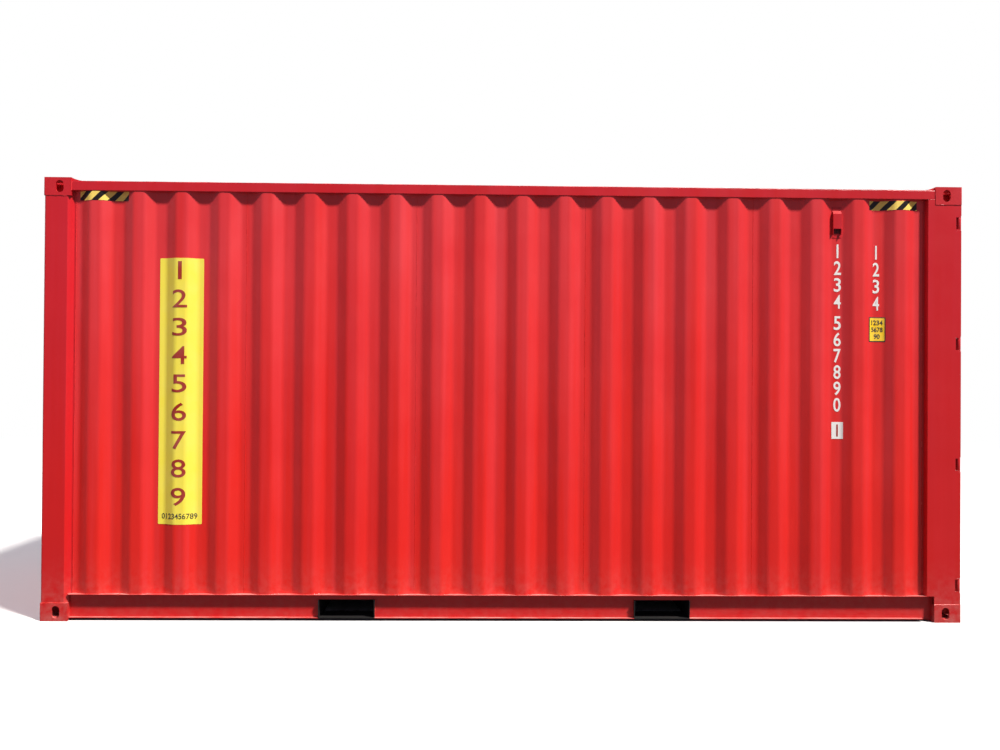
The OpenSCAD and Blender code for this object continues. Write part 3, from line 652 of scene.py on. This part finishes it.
def column(name, mat, x, rows, width, height, lift, weight):
    """A column of marks. rows holds (text, height of its centre), weight makes strokes bolder."""
    marks = [mark(text, x, z, width * (NARROW if text == "1" else 1.0), height, weight)
             for text, z in rows]
    finish_piece(lay_on_wall(join(name, marks), PHOTO_SIDE, lift), mat, "root")


def film_finish(name, colour, roughness=0.42, fade=0.15):
    """Coloured film: faint fading, small scuffs and a slightly wavy face."""
    mat, t, shader, where = new_material(name)
    patches = t.spread(t.noise(where, 9.0, 5.0, 0.6), 0.35, 0.75)
    paler = t.blend(0.5, colour, srgb(236, 232, 222))
    tone = t.blend(t.product(patches, fade), colour, paler)
    scratches = t.noise(t.stretch(where, (60.0, 60.0, 14.0)), 1.0, 6.0, 0.7)
    scuffs = t.product(t.spread(scratches, 0.68, 0.8), 0.35)
    t.feed(shader, "Base Color", t.blend(scuffs, tone, srgb(120, 110, 100)))
    t.feed(shader, "Roughness", t.spread(patches, 0.0, 1.0, roughness - 0.05, roughness + 0.1))
    t.bump(shader, t.noise(where, 60.0, 3.0), 0.4, 0.0006)
    return mat


STRIPE_PITCH = 0.0985
STRIPE_START = 0.012
YELLOW_SHARE = 0.545


def hazard_finish(name, lean):
    """Yellow and black stripes at 45 degrees. lean is 1 or -1: both sides lean to the right."""
    mat, t, shader, where = new_material(name)
    run = t.math("ADD", t.axis(where, X), t.product(t.axis(where, Z), -lean))
    phase = t.math("FRACT", t.math("DIVIDE", t.math("ADD", run, STRIPE_START), STRIPE_PITCH))
    edge = t.spread(phase, YELLOW_SHARE - 0.01, YELLOW_SHARE + 0.01)
    start = t.spread(phase, 0.0, 0.02)
    yellow_part = t.product(t.math("SUBTRACT", 1.0, edge), start)
    worn = t.spread(t.noise(where, 26.0, 6.0, 0.65), 0.4, 0.8)
    wear = t.product(worn, 0.3)
    # Both yellows are paler than the tape's own: painted light against the shadow under the top
    # rail. The mix between them is wear
    yellow = t.blend(wear, srgb(255, 222, 108), srgb(232, 188, 84))
    black = t.blend(wear, srgb(18, 12, 12), srgb(60, 40, 34))
    t.feed(shader, "Base Color", t.blend(yellow_part, black, yellow))
    t.feed(shader, "Roughness", t.spread(worn, 0.0, 1.0, 0.34, 0.5))
    t.bump(shader, t.noise(where, 80.0, 3.0), 0.4, 0.0006)
    return mat


# Places of the films: from and to along X, from and to in height
TAPES = {"front": (-2.806, -2.484, 2.750, 2.810), "door": (2.416, 2.740, 2.742, 2.802)}
YELLOW_PANEL = (-2.281, -1.995, 0.630, 2.376)
DIGIT_FIELD = (2.172, 2.248, 1.214, 1.326)
LABEL_RIM = (2.416, 2.531, 1.863, 2.027)
LABEL = (2.422, 2.525, 1.869, 2.021)
LABEL_LINES = ("1234", "5678", "90")
FILM_CORNER, LABEL_CORNER = 0.006, 0.004
# How much bolder than the plain face the digits' strokes are
FINE, SMALL, BOLD, LABEL_BOLD = 0.004, 0.006, 0.014, 0.02


def digits(first, count, top, pitch):
    """Rows of a column: running digits from the first one, and the height of each one's centre."""
    return [(str((first + i) % 10), top - pitch * i) for i in range(count)]


def lay_decals():
    yellow = film_finish("yellow_film", srgb(247, 229, 74), fade=0.12)
    white = film_finish("white_film", srgb(238, 236, 232), fade=0.05)
    red = film_finish("red_film", srgb(160, 36, 20))
    dark = film_finish("dark_film", srgb(38, 34, 30), fade=0.2)
    label = film_finish("label_film", srgb(248, 203, 26))

    for side, word in SIDES.items():
        stripes = hazard_finish("hazard_stripes_" + word, -side)
        for end, place in TAPES.items():
            tape = film_sheet("hazard_tape_%s_%s" % (end, word), side, *place, ON_SHEET)
            finish_piece(tape, stripes, "root")

    def film(name, mat, place, lift, corner=0.0):
        finish_piece(film_sheet(name, PHOTO_SIDE, *place, lift, corner), mat, "root")

    film("yellow_panel", yellow, YELLOW_PANEL, ON_SHEET, FILM_CORNER)
    column("panel_digits", red, -2.143, digits(1, 9, 2.296, 0.1855), 0.096, 0.118, ON_FILM, FINE)
    rows = [("0123456789", 0.684)]
    column("panel_digits_small", dark, -2.140, rows, 0.232, 0.036, ON_FILM, SMALL)

    rows = digits(1, 4, 2.466, 0.1125) + digits(5, 6, 1.986, 0.109)
    column("side_digits", white, 2.208, rows, 0.048, 0.092, ON_SHEET, BOLD)
    film("boxed_digit_field", white, DIGIT_FIELD, ON_SHEET)
    column("boxed_digit", red, 2.210, [("1", 1.270)], 0.044, 0.080, ON_FILM, BOLD)
    rows = digits(1, 4, 2.459, 0.1135)
    column("side_digits_short", white, 2.467, rows, 0.044, 0.092, ON_SHEET, BOLD)

    film("bare_label_rim", dark, LABEL_RIM, ON_SHEET, FILM_CORNER)
    film("bare_label", label, LABEL, ON_FILM, LABEL_CORNER)
    for number, text in enumerate(LABEL_LINES):
        column("label_digits_%d" % (number + 1), dark, 2.4735, [(text, 1.990 - 0.046 * number)],
               0.020 * len(text), 0.032, ON_LABEL, LABEL_BOLD)


lay_decals()


# Weld beads

# Radii at castings, frame joints and the walls' feet, then at plates, posts and sheets' seams
AT_CASTING, AT_FRAME, AT_FOOT = 0.0028, 0.0026, 0.0024
AT_PLATE, AT_POST, AT_SEAM = 0.0022, 0.0020, 0.0014
# A bead between two rails stops this much short of them
SHORT_OF = 0.002
# How far inside the container's sides and ends seams lie: at castings, at rails, along the roof's
# edge (its seam stops this far from the ends) and across the roof
BY_CASTING, BY_RAIL, BY_EDGE, EDGE_STOP, BY_ROOF = 0.003, 0.004, 0.006, 0.25, 0.012
# Seams of castings: start on a long side from the container's end, both ends on the front end
CASTING_START, CASTING_SEAM = 0.006, (0.016, 0.130)
# Lengths between two waists of a bead: usual, along the roof's edge, across the roof
STEP, STEP_LONG, STEP_ROOF = 0.022, 0.06, 0.04
UNEVEN = 0.35
# Sheets of the side walls meet at these valleys, the bottom rails' flanges at these places along X
SHEET_SEAMS = (3, 7, 11, 15)
FLANGE_JOINTS = (-2.521, 2.514)
# The bottom rail's web, the joint's inner end, and how far the joint runs down the flange's edge
RAIL_WEB, JOINT_END, FLANGE_EDGE = HALF_Y - 0.050, HALF_Y - 0.040, 0.0045
# Side seams of a fork pocket: from its middle, across, foot and head
POCKET_HALF, POCKET_MOUTH, POCKET_FOOT, POCKET_HEAD = 0.1862, HALF_Y - 0.0475, 0.024, 0.134
# Seam between the front post and the front wall
FRONT_SEAM_X, FRONT_SEAM_Y = -HALF_X + 0.0516, HALF_Y - 0.172
SILL_FOOT, SILL_HEAD, HEADER_FOOT = 0.022, 0.112, LEVEL_TUBE + 0.004
POINTS_PER_BEND = 3
# Above this height over the rails, a vertex of the roof is on a rib's crest
RIB_TOP = 0.0195


def straight_bead(start, end, radius, seed, step=STEP):
    """Bead of a weld along a straight seam: a round bar, cut into short lengths and made uneven."""
    start, end = Vector(start), Vector(end)
    run = end - start
    bpy.ops.mesh.primitive_cylinder_add(vertices=8, radius=radius, depth=run.length)
    bead = bpy.context.object
    edit(bead)

    def lengthwise(edge):
        a, b = edge_ends(bead, edge)
        return abs(a.z - b.z) > run.length / 2

    pick(bead, "edges", lengthwise)
    bpy.ops.mesh.subdivide(number_cuts=max(2, min(98, round(run.length / step))))
    roughen(radius, seed)
    end_edit()
    bead.matrix_world = facing(run, (start + end) / 2)
    return into_mesh(bead)


def roughen(radius, seed):
    """Moves the vertices of the bead being edited a little, each its own way."""
    pick_all()
    bpy.ops.transform.vertex_random(offset=radius * UNEVEN, uniform=0.6, normal=0.4, seed=seed)


def bent_bead(points, radius, seed):
    """Bead that follows a bent seam: a ring that is extruded from corner to corner."""
    draw = random.Random(seed)
    points = [Vector(p) for p in points]
    first = (points[1] - points[0]).normalized()
    bpy.ops.mesh.primitive_circle_add(vertices=8, radius=radius, fill_type="NGON")
    bead = bpy.context.object
    bead.matrix_world = facing(first, points[0])
    into_mesh(bead)
    edit(bead)
    bpy.ops.mesh.select_mode(type="FACE")
    pick_all()
    for a, b in zip(points, points[1:]):
        extrude(b - a)
        size = draw.uniform(0.85, 1.15)
        bpy.ops.transform.resize(value=(1.0, size, size), center_override=b)
    face_outwards()
    end_edit()
    return bead


def wall_foot_points(side, draw):
    """Corners of a side wall's foot along the bottom rail, with short steps between the bends."""
    depths = sorted(wall_depths(side).items())
    points = []
    for (x_from, y_from), (x_to, y_to) in zip(depths, depths[1:]):
        for k in range(POINTS_PER_BEND):
            x = x_from + (x_to - x_from) * k / POINTS_PER_BEND
            y = y_from + (y_to - y_from) * k / POINTS_PER_BEND
            points.append((x, side * y, LEVEL_RAIL + draw.uniform(0.0, 0.001)))
    x, y = depths[-1]
    return points + [(x, side * y, LEVEL_RAIL)]


def bead_runner(first_seed):
    """A list of beads, and a function that adds a straight one to it, each with the next seed."""
    made = []
    seeds = count(first_seed)

    def run(start, end, radius, **more):
        made.append(straight_bead(start, end, radius, next(seeds), **more))

    return made, run


def finish_beads(name, made, body):
    finish_piece(join(name, made), PAINT_WELD_HIGHLIGHT, body, smooth=SMOOTH_BEAD)


def weld_side(side):
    """Beads of one long side: fittings, posts, rails, sheets and fork pockets."""
    made, run = bead_runner({-1: 100, 1: 300}[side])
    face = side * (HALF_Y - BY_CASTING)
    edge = side * (HALF_Y - BY_RAIL)
    valley = side * (HALF_Y - WALL_VALLEY)
    low, high = LEVEL_RAIL + SHORT_OF, LEVEL_TUBE - SHORT_OF
    posts = ((-1, FRONT_POST_FACE, FRONT_POST_BACK), (1, FITTING_LONG, DOOR_POST_BACK))
    for end, post_face, post_back in posts:
        outer = end * (HALF_X - CASTING_START)
        for z in (FITTING_HIGH, HEIGHT - FITTING_HIGH):
            run((outer, face, z), (end * (HALF_X - post_face), face, z), AT_CASTING)
        joint = end * (HALF_X - FITTING_LONG)
        run((joint, edge, LEVEL_TUBE), (joint, edge, LEVEL_TOP), AT_FRAME)
        run((joint, edge, LEVEL_RAIL), (joint, side * RAIL_WEB, LEVEL_RAIL), AT_FRAME)
        seam = end * (HALF_X - post_back)
        run((seam, valley, low), (seam, valley, high), AT_POST)
    for bay in SHEET_SEAMS:
        x = FIRST_VALLEY + PITCH * bay
        run((x, valley, low), (x, valley, high), AT_SEAM)
    for x in FLANGE_JOINTS:
        run((x, edge, LEVEL_RAIL), (x, side * JOINT_END, LEVEL_RAIL), AT_PLATE)
        run((x, edge, LEVEL_RAIL), (x, edge, LEVEL_RAIL - FLANGE_EDGE), AT_PLATE)
    for pocket in ("fork_pocket_front", "fork_pocket_rear"):
        box_low, box_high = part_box(pocket)
        mouth = side * POCKET_MOUTH
        for s in (-1, 1):
            x = (box_low[0] + box_high[0]) / 2 + s * POCKET_HALF
            run((x, mouth, POCKET_FOOT), (x, mouth, POCKET_HEAD), AT_PLATE)
    y, reach = side * (HALF_Y - BY_EDGE), HALF_X - EDGE_STOP
    run((-reach, y, LEVEL_TOP), (reach, y, LEVEL_TOP), AT_PLATE, step=STEP_LONG)
    made.append(bent_bead(wall_foot_points(side, random.Random(5 + side)), AT_FOOT, 40 + side))
    finish_beads("weld_beads_" + SIDES[side], made, "root")


def weld_ends():
    """Beads of the front end and of the door posts' feet and heads."""
    made, run = bead_runner(500)
    x_front = -HALF_X + BY_CASTING
    for side in SIDES:
        outer, inner = (side * (HALF_Y - inside) for inside in CASTING_SEAM)
        for z in (FITTING_HIGH, HEIGHT - FITTING_HIGH):
            run((x_front, outer, z), (x_front, inner, z), AT_CASTING)
        x, y = FRONT_SEAM_X, side * FRONT_SEAM_Y
        run((x, y, LEVEL_RAIL + SHORT_OF), (x, y, LEVEL_TUBE - SHORT_OF), AT_POST)
        y = side * (HALF_Y - FITTING_WIDE)
        for x in (-HALF_X + BY_RAIL, LEAF_X):
            run((x, y, HEADER_FOOT), (x, y, LEVEL_TOP), AT_FRAME)
            run((x, y, SILL_FOOT), (x, y, SILL_HEAD), AT_FRAME)
    finish_beads("weld_beads_ends", made, "root")


def weld_leaf(side):
    """Beads round the hinge blades and the panel of a door leaf."""
    made, run = bead_runner({-1: 700, 1: 800}[side])
    for z in HINGE_LEVELS:
        for level in (z - BLADE_HALF, z + BLADE_HALF):
            run((LEAF_X, side * BLADE_OUTER, level), (LEAF_X, side * BLADE_INNER, level), AT_FRAME)
    x = LEAF_X - 0.002
    for y in (side * PANEL_OUTER, side * PANEL_INNER):
        run((x, y, PANEL_FOOT + SHORT_OF), (x, y, PANEL_HEAD - SHORT_OF), AT_PLATE)
    for z in (PANEL_FOOT, PANEL_HEAD):
        run((x, side * PANEL_OUTER, z), (x, side * PANEL_INNER, z), AT_PLATE)
    finish_beads("weld_beads_leaf_" + SIDES[side], made, "leaf_" + SIDES[side])


# Weld paint: the extra settled dust makes the beads a paler line, a painted highlight along the
# seams, partly real dust
PAINT_WELD_HIGHLIGHT = red_paint(
    "red_paint_weld_highlight", roughness=0.26, grain=8.0, waves=0.0, patches=0.2, settled=0.6)
for long_side in SIDES:
    weld_side(long_side)
    weld_leaf(long_side)
weld_ends()


# Rivets, bolts and small fittings

# Heads: radius, height, how much wider the foot is, and the foot's two steps as shares of a height
RIVET, FLOOR_SCREW = (0.0038, 0.0024, 1.3), (0.0065, 0.0009)
BRACKET_BOLT, HANDLE_BOLT = (0.0062, 0.0042, 1.35), (0.0075, 0.0048, 1.4)
FOOT_STEP = 0.25
# A foot lies this much above its plate, so that the two faces don't share one plane
ABOVE = 0.0004
# Plates of ventilator and rod brackets, and the ventilator's screen above the wall
VENT_PLATE, BRACKET_PLATE, SCREEN_ABOVE = 0.002, 0.005, 0.0032
# Rivets: from the plate's sides, from its foot and from its top. Screen: smaller than the plate by
RIVET_SIDE, RIVET_FOOT, RIVET_TOP = 0.013, 0.011, 0.010
SCREEN_LESS_WIDE, SCREEN_LESS_HIGH, WIRE = 0.018, 0.062, 0.0007
# Bolts of a rod bracket: half their distances across and up
BOLT_ACROSS, BOLT_UP = 0.038, 0.013
# Handles: their levels from the middle of both, from rod to pivot bolt and from rod to latch
HANDLE_APART, TO_PIVOT, TO_LATCH = 0.075, 0.052, 0.460
# Out from the rods' axes: pivot bolt, the latch's two pins and its plate. Pins: up and down
PIVOT_OUT, PIN_OUT, LATCH_OUT, PIN_UP = 0.0062, 0.004, 0.0122, 0.0228
# Weld rings: from a rod's end and from a handle, radii there, and thickness
FROM_END, FROM_HANDLE = 0.044, 0.016
RING_END, RING_HANDLE, RING_THICK = 0.0178, 0.0205, 0.0022
# Latch plate: thick, wide, high, its cut corners, and its hole
LATCH_THICK, LATCH_WIDE, LATCH_HIGH, LATCH_CORNER = 0.004, 0.026, 0.064, 0.008
SEAL_HOLE, SEAL_HOLE_Z = 0.0045, -0.021
# Floor screws: rows this far apart are of different cross members; how many in a row, their pitch,
# how far each second one stands back, and how far from the floor's ends
MEMBER_GAP, ROW_SCREWS, SCREW_PITCH, STAGGER, FLOOR_EDGE = 0.06, 10, 0.235, 0.006, 0.03
# Lashing rings: valleys that have them, heights, radius of the ring and of its bar
RING_BAYS, RING_LEVELS, RING_RADIUS, RING_BAR = (1, 5, 9, 13, 17), (0.215, 2.765), 0.021, 0.0045


def dome_head(radius, height, wider=0.0):
    """Head of a rivet or bolt, facing +Z: half a ball, pressed flat, on a thin round foot."""
    bpy.ops.mesh.primitive_uv_sphere_add(segments=12, ring_count=8, radius=radius)
    head = bpy.context.object
    head.scale = (1.0, 1.0, height / radius)
    into_mesh(head)
    edit(head)
    pick_all()
    bpy.ops.mesh.bisect(plane_co=(0, 0, 0), plane_no=(0, 0, 1), use_fill=True, clear_inner=True)
    pick(head, "polygons", lambda f: f.normal.z < -0.9)
    if wider:
        down = (0, 0, -height * FOOT_STEP)
        extrude(down)
        bpy.ops.transform.resize(value=(wider, wider, 1.0))
        extrude(down)
    face_outwards()
    end_edit()
    return head


def vent_rivets(side):
    """Rivets of a ventilator's plate, and a wire screen behind its mouth, near black as painted
    shade of the cavity.
    """
    low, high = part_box("ventilators")
    spots = [v.co for v in nodes["ventilators"].data.vertices if v.co.y * side > 0]
    x_low, x_high = min(s.x for s in spots), max(s.x for s in spots)
    wall = HALF_Y - WALL_VALLEY
    y = side * (wall + VENT_PLATE + ABOVE)
    places = [facing((0, side, 0), (x, y, z)) for x in (x_low + RIVET_SIDE, x_high - RIVET_SIDE)
              for z in (low.z + RIVET_FOOT, high.z - RIVET_TOP)]
    rivets = copies("vent_rivets_" + SIDES[side], dome_head(*RIVET), places)
    finish_piece(rivets, PAINT, "root", smooth=SMOOTH_HEAD)

    bpy.ops.mesh.primitive_grid_add(x_subdivisions=14, y_subdivisions=32, size=1.0)
    screen = bpy.context.object
    screen.name = screen.data.name = "vent_screen_" + SIDES[side]
    screen.scale = (x_high - x_low - SCREEN_LESS_WIDE, high.z - low.z - SCREEN_LESS_HIGH, 1.0)
    into_mesh(screen)
    edit(screen)
    bpy.ops.mesh.select_mode(type="FACE")
    pick_all()
    bpy.ops.mesh.inset(thickness=WIRE, use_individual=True)
    bpy.ops.mesh.delete(type="FACE")
    end_edit()
    middle = ((x_low + x_high) / 2, side * (wall + SCREEN_ABOVE), (low.z + high.z) / 2)
    screen.matrix_world = Matrix.Translation(middle) @ Matrix.Rotation(TURN_UPRIGHT, 4, "X")
    into_mesh(screen)
    apply_modifier(screen, "wire", "SOLIDIFY", thickness=0.0006, offset=0.0)
    finish_piece(screen, SCREEN_SHADE_FINISH, "root")


def bracket_bolts(side):
    """Bolts that hold the feet of the lock rods' brackets to a leaf."""
    word = SIDES[side]
    levels = sorted({round(v.co.z, 3) for v in nodes["rod_brackets_" + word].data.vertices})
    centres = [(a + b) / 2 for a, b in zip(levels[::2], levels[1::2])]
    x = LEAF_X + BRACKET_PLATE + ABOVE
    places = [facing((1, 0, 0), (x, side * y + across, z + up))
              for y in (ROD_OUTER, ROD_INNER) for z in centres
              for across in (-BOLT_ACROSS, BOLT_ACROSS) for up in (-BOLT_UP, BOLT_UP)]
    bolts = copies("bracket_bolts_" + word, dome_head(*BRACKET_BOLT), places)
    finish_piece(bolts, ZINC, "leaf_" + word, smooth=SMOOTH_HEAD)


def ring_bead(spot, radius, seed):
    """Bead of a weld round an upright bar."""
    bpy.ops.mesh.primitive_torus_add(major_radius=radius, minor_radius=RING_THICK,
                                     major_segments=24, minor_segments=6)
    bead = bpy.context.object
    edit(bead)
    roughen(RING_THICK, seed)
    end_edit()
    bead.matrix_world = Matrix.Translation(spot)
    return into_mesh(bead)


def rod_details(side):
    """Weld rings on the rods at cams and hubs, pivot bolts of the handles, and the latches on their
    catches."""
    word = SIDES[side]
    low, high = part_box("handles_" + word)
    middle = (low[2] + high[2]) / 2
    rods = ((ROD_OUTER, 1, middle - HANDLE_APART), (ROD_INNER, -1, middle + HANDLE_APART))
    bottom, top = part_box("lock_rods_" + word)
    rings, pivots, latches = [], [], []
    for number, (y, towards, level) in enumerate(rods):
        welds = ((bottom[2] + FROM_END, RING_END), (top[2] - FROM_END, RING_END),
                 (level - FROM_HANDLE, RING_HANDLE), (level + FROM_HANDLE, RING_HANDLE))
        for step, (z, reach) in enumerate(welds):
            rings.append(ring_bead((ROD_X, side * y, z), reach, 60 + number * 4 + step))
        pivot_y, latch_y = (side * (y - towards * away) for away in (TO_PIVOT, TO_LATCH))
        pivots.append(facing((1, 0, 0), (ROD_X + PIVOT_OUT, pivot_y, level)))
        for s in (-1, 1):
            pivots.append(facing((0, 0, s), (ROD_X + PIN_OUT, latch_y, level + s * PIN_UP)))
        latches.append(Matrix.Translation((ROD_X + LATCH_OUT, latch_y, level)))

    def finish(made, smooth=None):
        finish_piece(made, ZINC, "leaf_" + word, smooth=smooth)

    finish(join("rod_weld_rings_" + word, rings), SMOOTH_BEAD)
    finish(copies("handle_bolts_" + word, dome_head(*HANDLE_BOLT), pivots), SMOOTH_HEAD)
    finish(copies("handle_latches_" + word, latch_plate(), latches))


def latch_plate():
    """Swivelling plate that keeps a handle in its catch, with cut corners and a seal's hole."""
    bpy.ops.mesh.primitive_cube_add(size=1.0)
    plate = bpy.context.object
    plate.scale = (LATCH_THICK, LATCH_WIDE, LATCH_HIGH)
    into_mesh(plate)

    def corner(edge):
        return all(abs(abs(v.z) - LATCH_HIGH / 2) < 1e-4 and abs(abs(v.y) - LATCH_WIDE / 2) < 1e-4
                   for v in edge_ends(plate, edge))

    edit(plate)
    pick(plate, "edges", corner)
    bpy.ops.mesh.bevel(offset=LATCH_CORNER, segments=3, affect="EDGES")
    end_edit()
    bpy.ops.mesh.primitive_cylinder_add(vertices=16, radius=SEAL_HOLE, depth=0.02)
    drill = bpy.context.object
    across = Matrix.Rotation(TURN_UPRIGHT, 4, "Y")
    drill.matrix_world = Matrix.Translation((0, 0, SEAL_HOLE_Z)) @ across
    into_mesh(drill)
    apply_modifier(plate, "seal_hole", "BOOLEAN", object=drill, operation="DIFFERENCE",
                   solver="EXACT")
    bpy.data.objects.remove(drill)
    apply_modifier(plate, "round", "BEVEL", width=0.0007, segments=2, limit_method="ANGLE",
                   angle_limit=EDGE_ANGLE)
    return plate


def floor_screws():
    """Rows of countersunk screws that hold the boards to the cross members."""
    ends = sorted({round(v.co.x, 3) for v in nodes["cross_members"].data.vertices})
    members = [[ends[0]]]
    for x in ends[1:]:
        if x - members[-1][-1] > MEMBER_GAP:
            members.append([])
        members[-1].append(x)
    low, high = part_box("floor")
    middles = [(m[0] + m[-1]) / 2 for m in members if len(m) > 1]
    row = [(STAGGER * (-1) ** k, (k - (ROW_SCREWS - 1) / 2) * SCREW_PITCH)
           for k in range(ROW_SCREWS)]
    places = [Matrix.Translation((x + shift, y, high[2])) for x in middles
              if low[0] + FLOOR_EDGE < x < high[0] - FLOOR_EDGE for shift, y in row]
    screws = copies("floor_screws", dome_head(*FLOOR_SCREW), places)
    finish_piece(screws, ZINC, "root", smooth=SMOOTH_HEAD)


def lashing_rings(side):
    """Half rings for cargo straps on the inner crests of a side wall, near floor and roof."""
    bpy.ops.mesh.primitive_torus_add(major_radius=RING_RADIUS, minor_radius=RING_BAR,
                                     major_segments=28, minor_segments=10)
    ring = bpy.context.object
    deeper = Matrix.Diagonal((1.0, 1.2, 1.0, 1.0))
    ring.matrix_world = deeper @ Matrix.Rotation(TURN_UPRIGHT, 4, "Y")
    into_mesh(ring)
    edit(ring)
    pick_all()
    bpy.ops.mesh.bisect(plane_co=(0, 0, 0), plane_no=(0, 1, 0), use_fill=True, clear_inner=True)
    face_outwards()
    end_edit()
    turn = Matrix.Rotation(math.pi if side > 0 else 0.0, 4, "Z")
    y = side * (HALF_Y - WALL_VALLEY - 0.0015)
    places = [Matrix.Translation((FIRST_VALLEY + PITCH * bay, y, z)) @ turn
              for bay in RING_BAYS for z in RING_LEVELS]
    rings = copies("lashing_rings_" + SIDES[side], ring, places)
    finish_piece(rings, PAINT, "root", smooth=SMOOTH_HEAD)


def roof_seams():
    """Seams between the roof's sheets: beads across the flats, one after every fifth rib."""
    ribs = sorted({round(v.co.x, 4) for v in nodes["roof"].data.vertices
                   if v.co.z > LEVEL_TOP + RIB_TOP})
    flats = [(a + b) / 2 for a, b in zip(ribs[1::2], ribs[2::2])]
    first = len(flats) // 2 % 5
    made, run = bead_runner(900)
    y, z = HALF_Y - BY_ROOF, LEVEL_TOP + SHORT_OF
    for x in flats[first::5]:
        run((x, -y, z), (x, y, z), AT_PLATE, step=STEP_ROOF)
    finish_beads("roof_seams", made, "root")


# The screen's near black is painted shade for the ventilator's dark cavity
SCREEN_SHADE_FINISH = film_finish("screen_painted_shade", srgb(14, 14, 15), roughness=0.6, fade=0.05)
for long_side in SIDES:
    vent_rivets(long_side)
    bracket_bolts(long_side)
    rod_details(long_side)
    lashing_rings(long_side)
floor_screws()
roof_seams()


# Softened edges: thick pieces get a small round along their edges

ROUNDS = {
    "fittings": 0.0030, "front_post": 0.0012, "door_post": 0.0012,
    "bottom_rail": 0.0010, "top_rail": 0.0030, "corner_plates": 0.0010,
    "front_sill": 0.0030, "front_header": 0.0030, "door_sill": 0.0020, "door_header": 0.0020,
    "hinge_lugs": 0.0008, "cam_keepers": 0.0012, "leaf_frame": 0.0010, "leaf_gasket": 0.0012,
    "leaf_hinges": 0.0010, "rod_brackets": 0.0010, "handles": 0.0015,
}


def soften_edges():
    for name, piece in nodes.items():
        width = by_start(ROUNDS, name, None)
        if width is not None:
            add_modifier(piece, "merge", "WELD", merge_threshold=MERGE)
            add_modifier(piece, "round", "BEVEL", width=width, segments=2, limit_method="ANGLE",
                         angle_limit=EDGE_ANGLE)


soften_edges()


# Studio: pale floor that fades to white, soft key light from the right, camera as in the photograph

FLOOR_SIZE = 120
# The floor begins to fade this far from the middle, and is plain white from there on
FADE_FROM, FADE_TO = 5.0, 24.0
# Share of the white backdrop that shows in a gloss
GLOSS_SHARE = 0.04
SKY = srgb(226, 222, 255)
SKY_STRENGTH = 0.235
WHITE = (1, 1, 1, 1)
# Camera: place, turns in radians, lens and sensor in millimetres
CAMERA_PLACE = (-0.1895, -7.9026, 1.570)
CAMERA_YAW, CAMERA_PITCH, CAMERA_ROLL = 0.0221, 0.0080, 0.0069
CAMERA_LENS, CAMERA_SENSOR = 36.56, 36.0


def pale_floor():
    bpy.ops.mesh.primitive_plane_add(size=FLOOR_SIZE)
    floor = bpy.context.object
    floor.name = "studio_floor"
    mat, t, shader, where = new_material("studio_floor")
    seen = t.add("ShaderNodeLightPath").outputs["Is Camera Ray"]
    t.feed(shader, "Base Color", t.blend(seen, srgb(88, 86, 86), srgb(232, 231, 229)))
    t.feed(shader, "Roughness", 0.7)
    t.feed(shader, "Specular IOR Level", 0.2)
    away = t.add("ShaderNodeVectorMath", {0: where}, operation="LENGTH").outputs["Value"]
    far = t.add("ShaderNodeMapRange", {
        "Value": away, "From Min": FADE_FROM, "From Max": FADE_TO}, interpolation_type="SMOOTHSTEP")
    white = t.add("ShaderNodeEmission", {"Color": WHITE, "Strength": 1.0})
    mix = t.add("ShaderNodeMixShader", {
        0: t.product(far.outputs[0], seen), 1: shader.outputs[0], 2: white.outputs[0]})
    t.feed(mat.node_tree.nodes["Material Output"], "Surface", mix.outputs[0])
    floor.data.materials.append(mat)


def white_world():
    """White backdrop for what the camera sees directly or in a gloss, bluish sky for light."""
    world = bpy.data.worlds.new("studio")
    scene.world = world
    world.use_nodes = True
    t = Tree(world.node_tree)
    path = t.add("ShaderNodeLightPath").outputs
    seen = t.math("ADD", path["Is Camera Ray"], path["Is Transmission Ray"], clamp=True)
    gloss = t.product(path["Is Glossy Ray"], GLOSS_SHARE)
    seen = t.math("ADD", seen, gloss, clamp=True)
    background = world.node_tree.nodes["Background"]
    t.feed(background, "Color", t.blend(seen, SKY, WHITE))
    t.feed(background, "Strength", t.spread(seen, 0.0, 1.0, SKY_STRENGTH, 1.0))


def lamp(name, towards, strength, angle, colour=(1, 1, 1)):
    """A far lamp. towards is the direction from the container to the lamp, angle is in degrees."""
    data = bpy.data.lights.new(name, "SUN")
    data.energy = strength
    data.angle = math.radians(angle)
    data.color = colour
    thing = bpy.data.objects.new(name, data)
    scene.collection.objects.link(thing)
    thing.rotation_mode = "QUATERNION"
    thing.rotation_quaternion = Vector(towards).to_track_quat("Z", "Y")


def photo_camera():
    """The camera that took the photograph, fitted to the container's corners."""
    sin, cos = math.sin, math.cos
    yaw, pitch, roll = CAMERA_YAW, CAMERA_PITCH, CAMERA_ROLL
    ahead = Vector((sin(yaw) * cos(pitch), cos(yaw) * cos(pitch), sin(pitch)))
    level = Vector((cos(yaw), -sin(yaw), 0))
    up = level.cross(ahead)
    right = cos(roll) * level + sin(roll) * up
    above = -sin(roll) * level + cos(roll) * up
    data = bpy.data.cameras.new("camera")
    data.lens = CAMERA_LENS
    data.sensor_width = CAMERA_SENSOR
    data.clip_end = 200
    thing = bpy.data.objects.new("camera", data)
    scene.collection.objects.link(thing)
    turn = Matrix((right, above, -ahead)).transposed().to_4x4()
    thing.matrix_world = Matrix.Translation(CAMERA_PLACE) @ turn
    scene.camera = thing


pale_floor()
white_world()
lamp("key_light", (1.26, -1.05, 2.25), 6.25, 6, (1.0, 0.97, 0.93))
lamp("fill_light", (-2.0, 0.1, 1.2), 0.85, 40)
lamp("back_light", (-1.3, 1.2, 1.1), 1.3, 60)
photo_camera()
scene.view_settings.view_transform = "Standard"
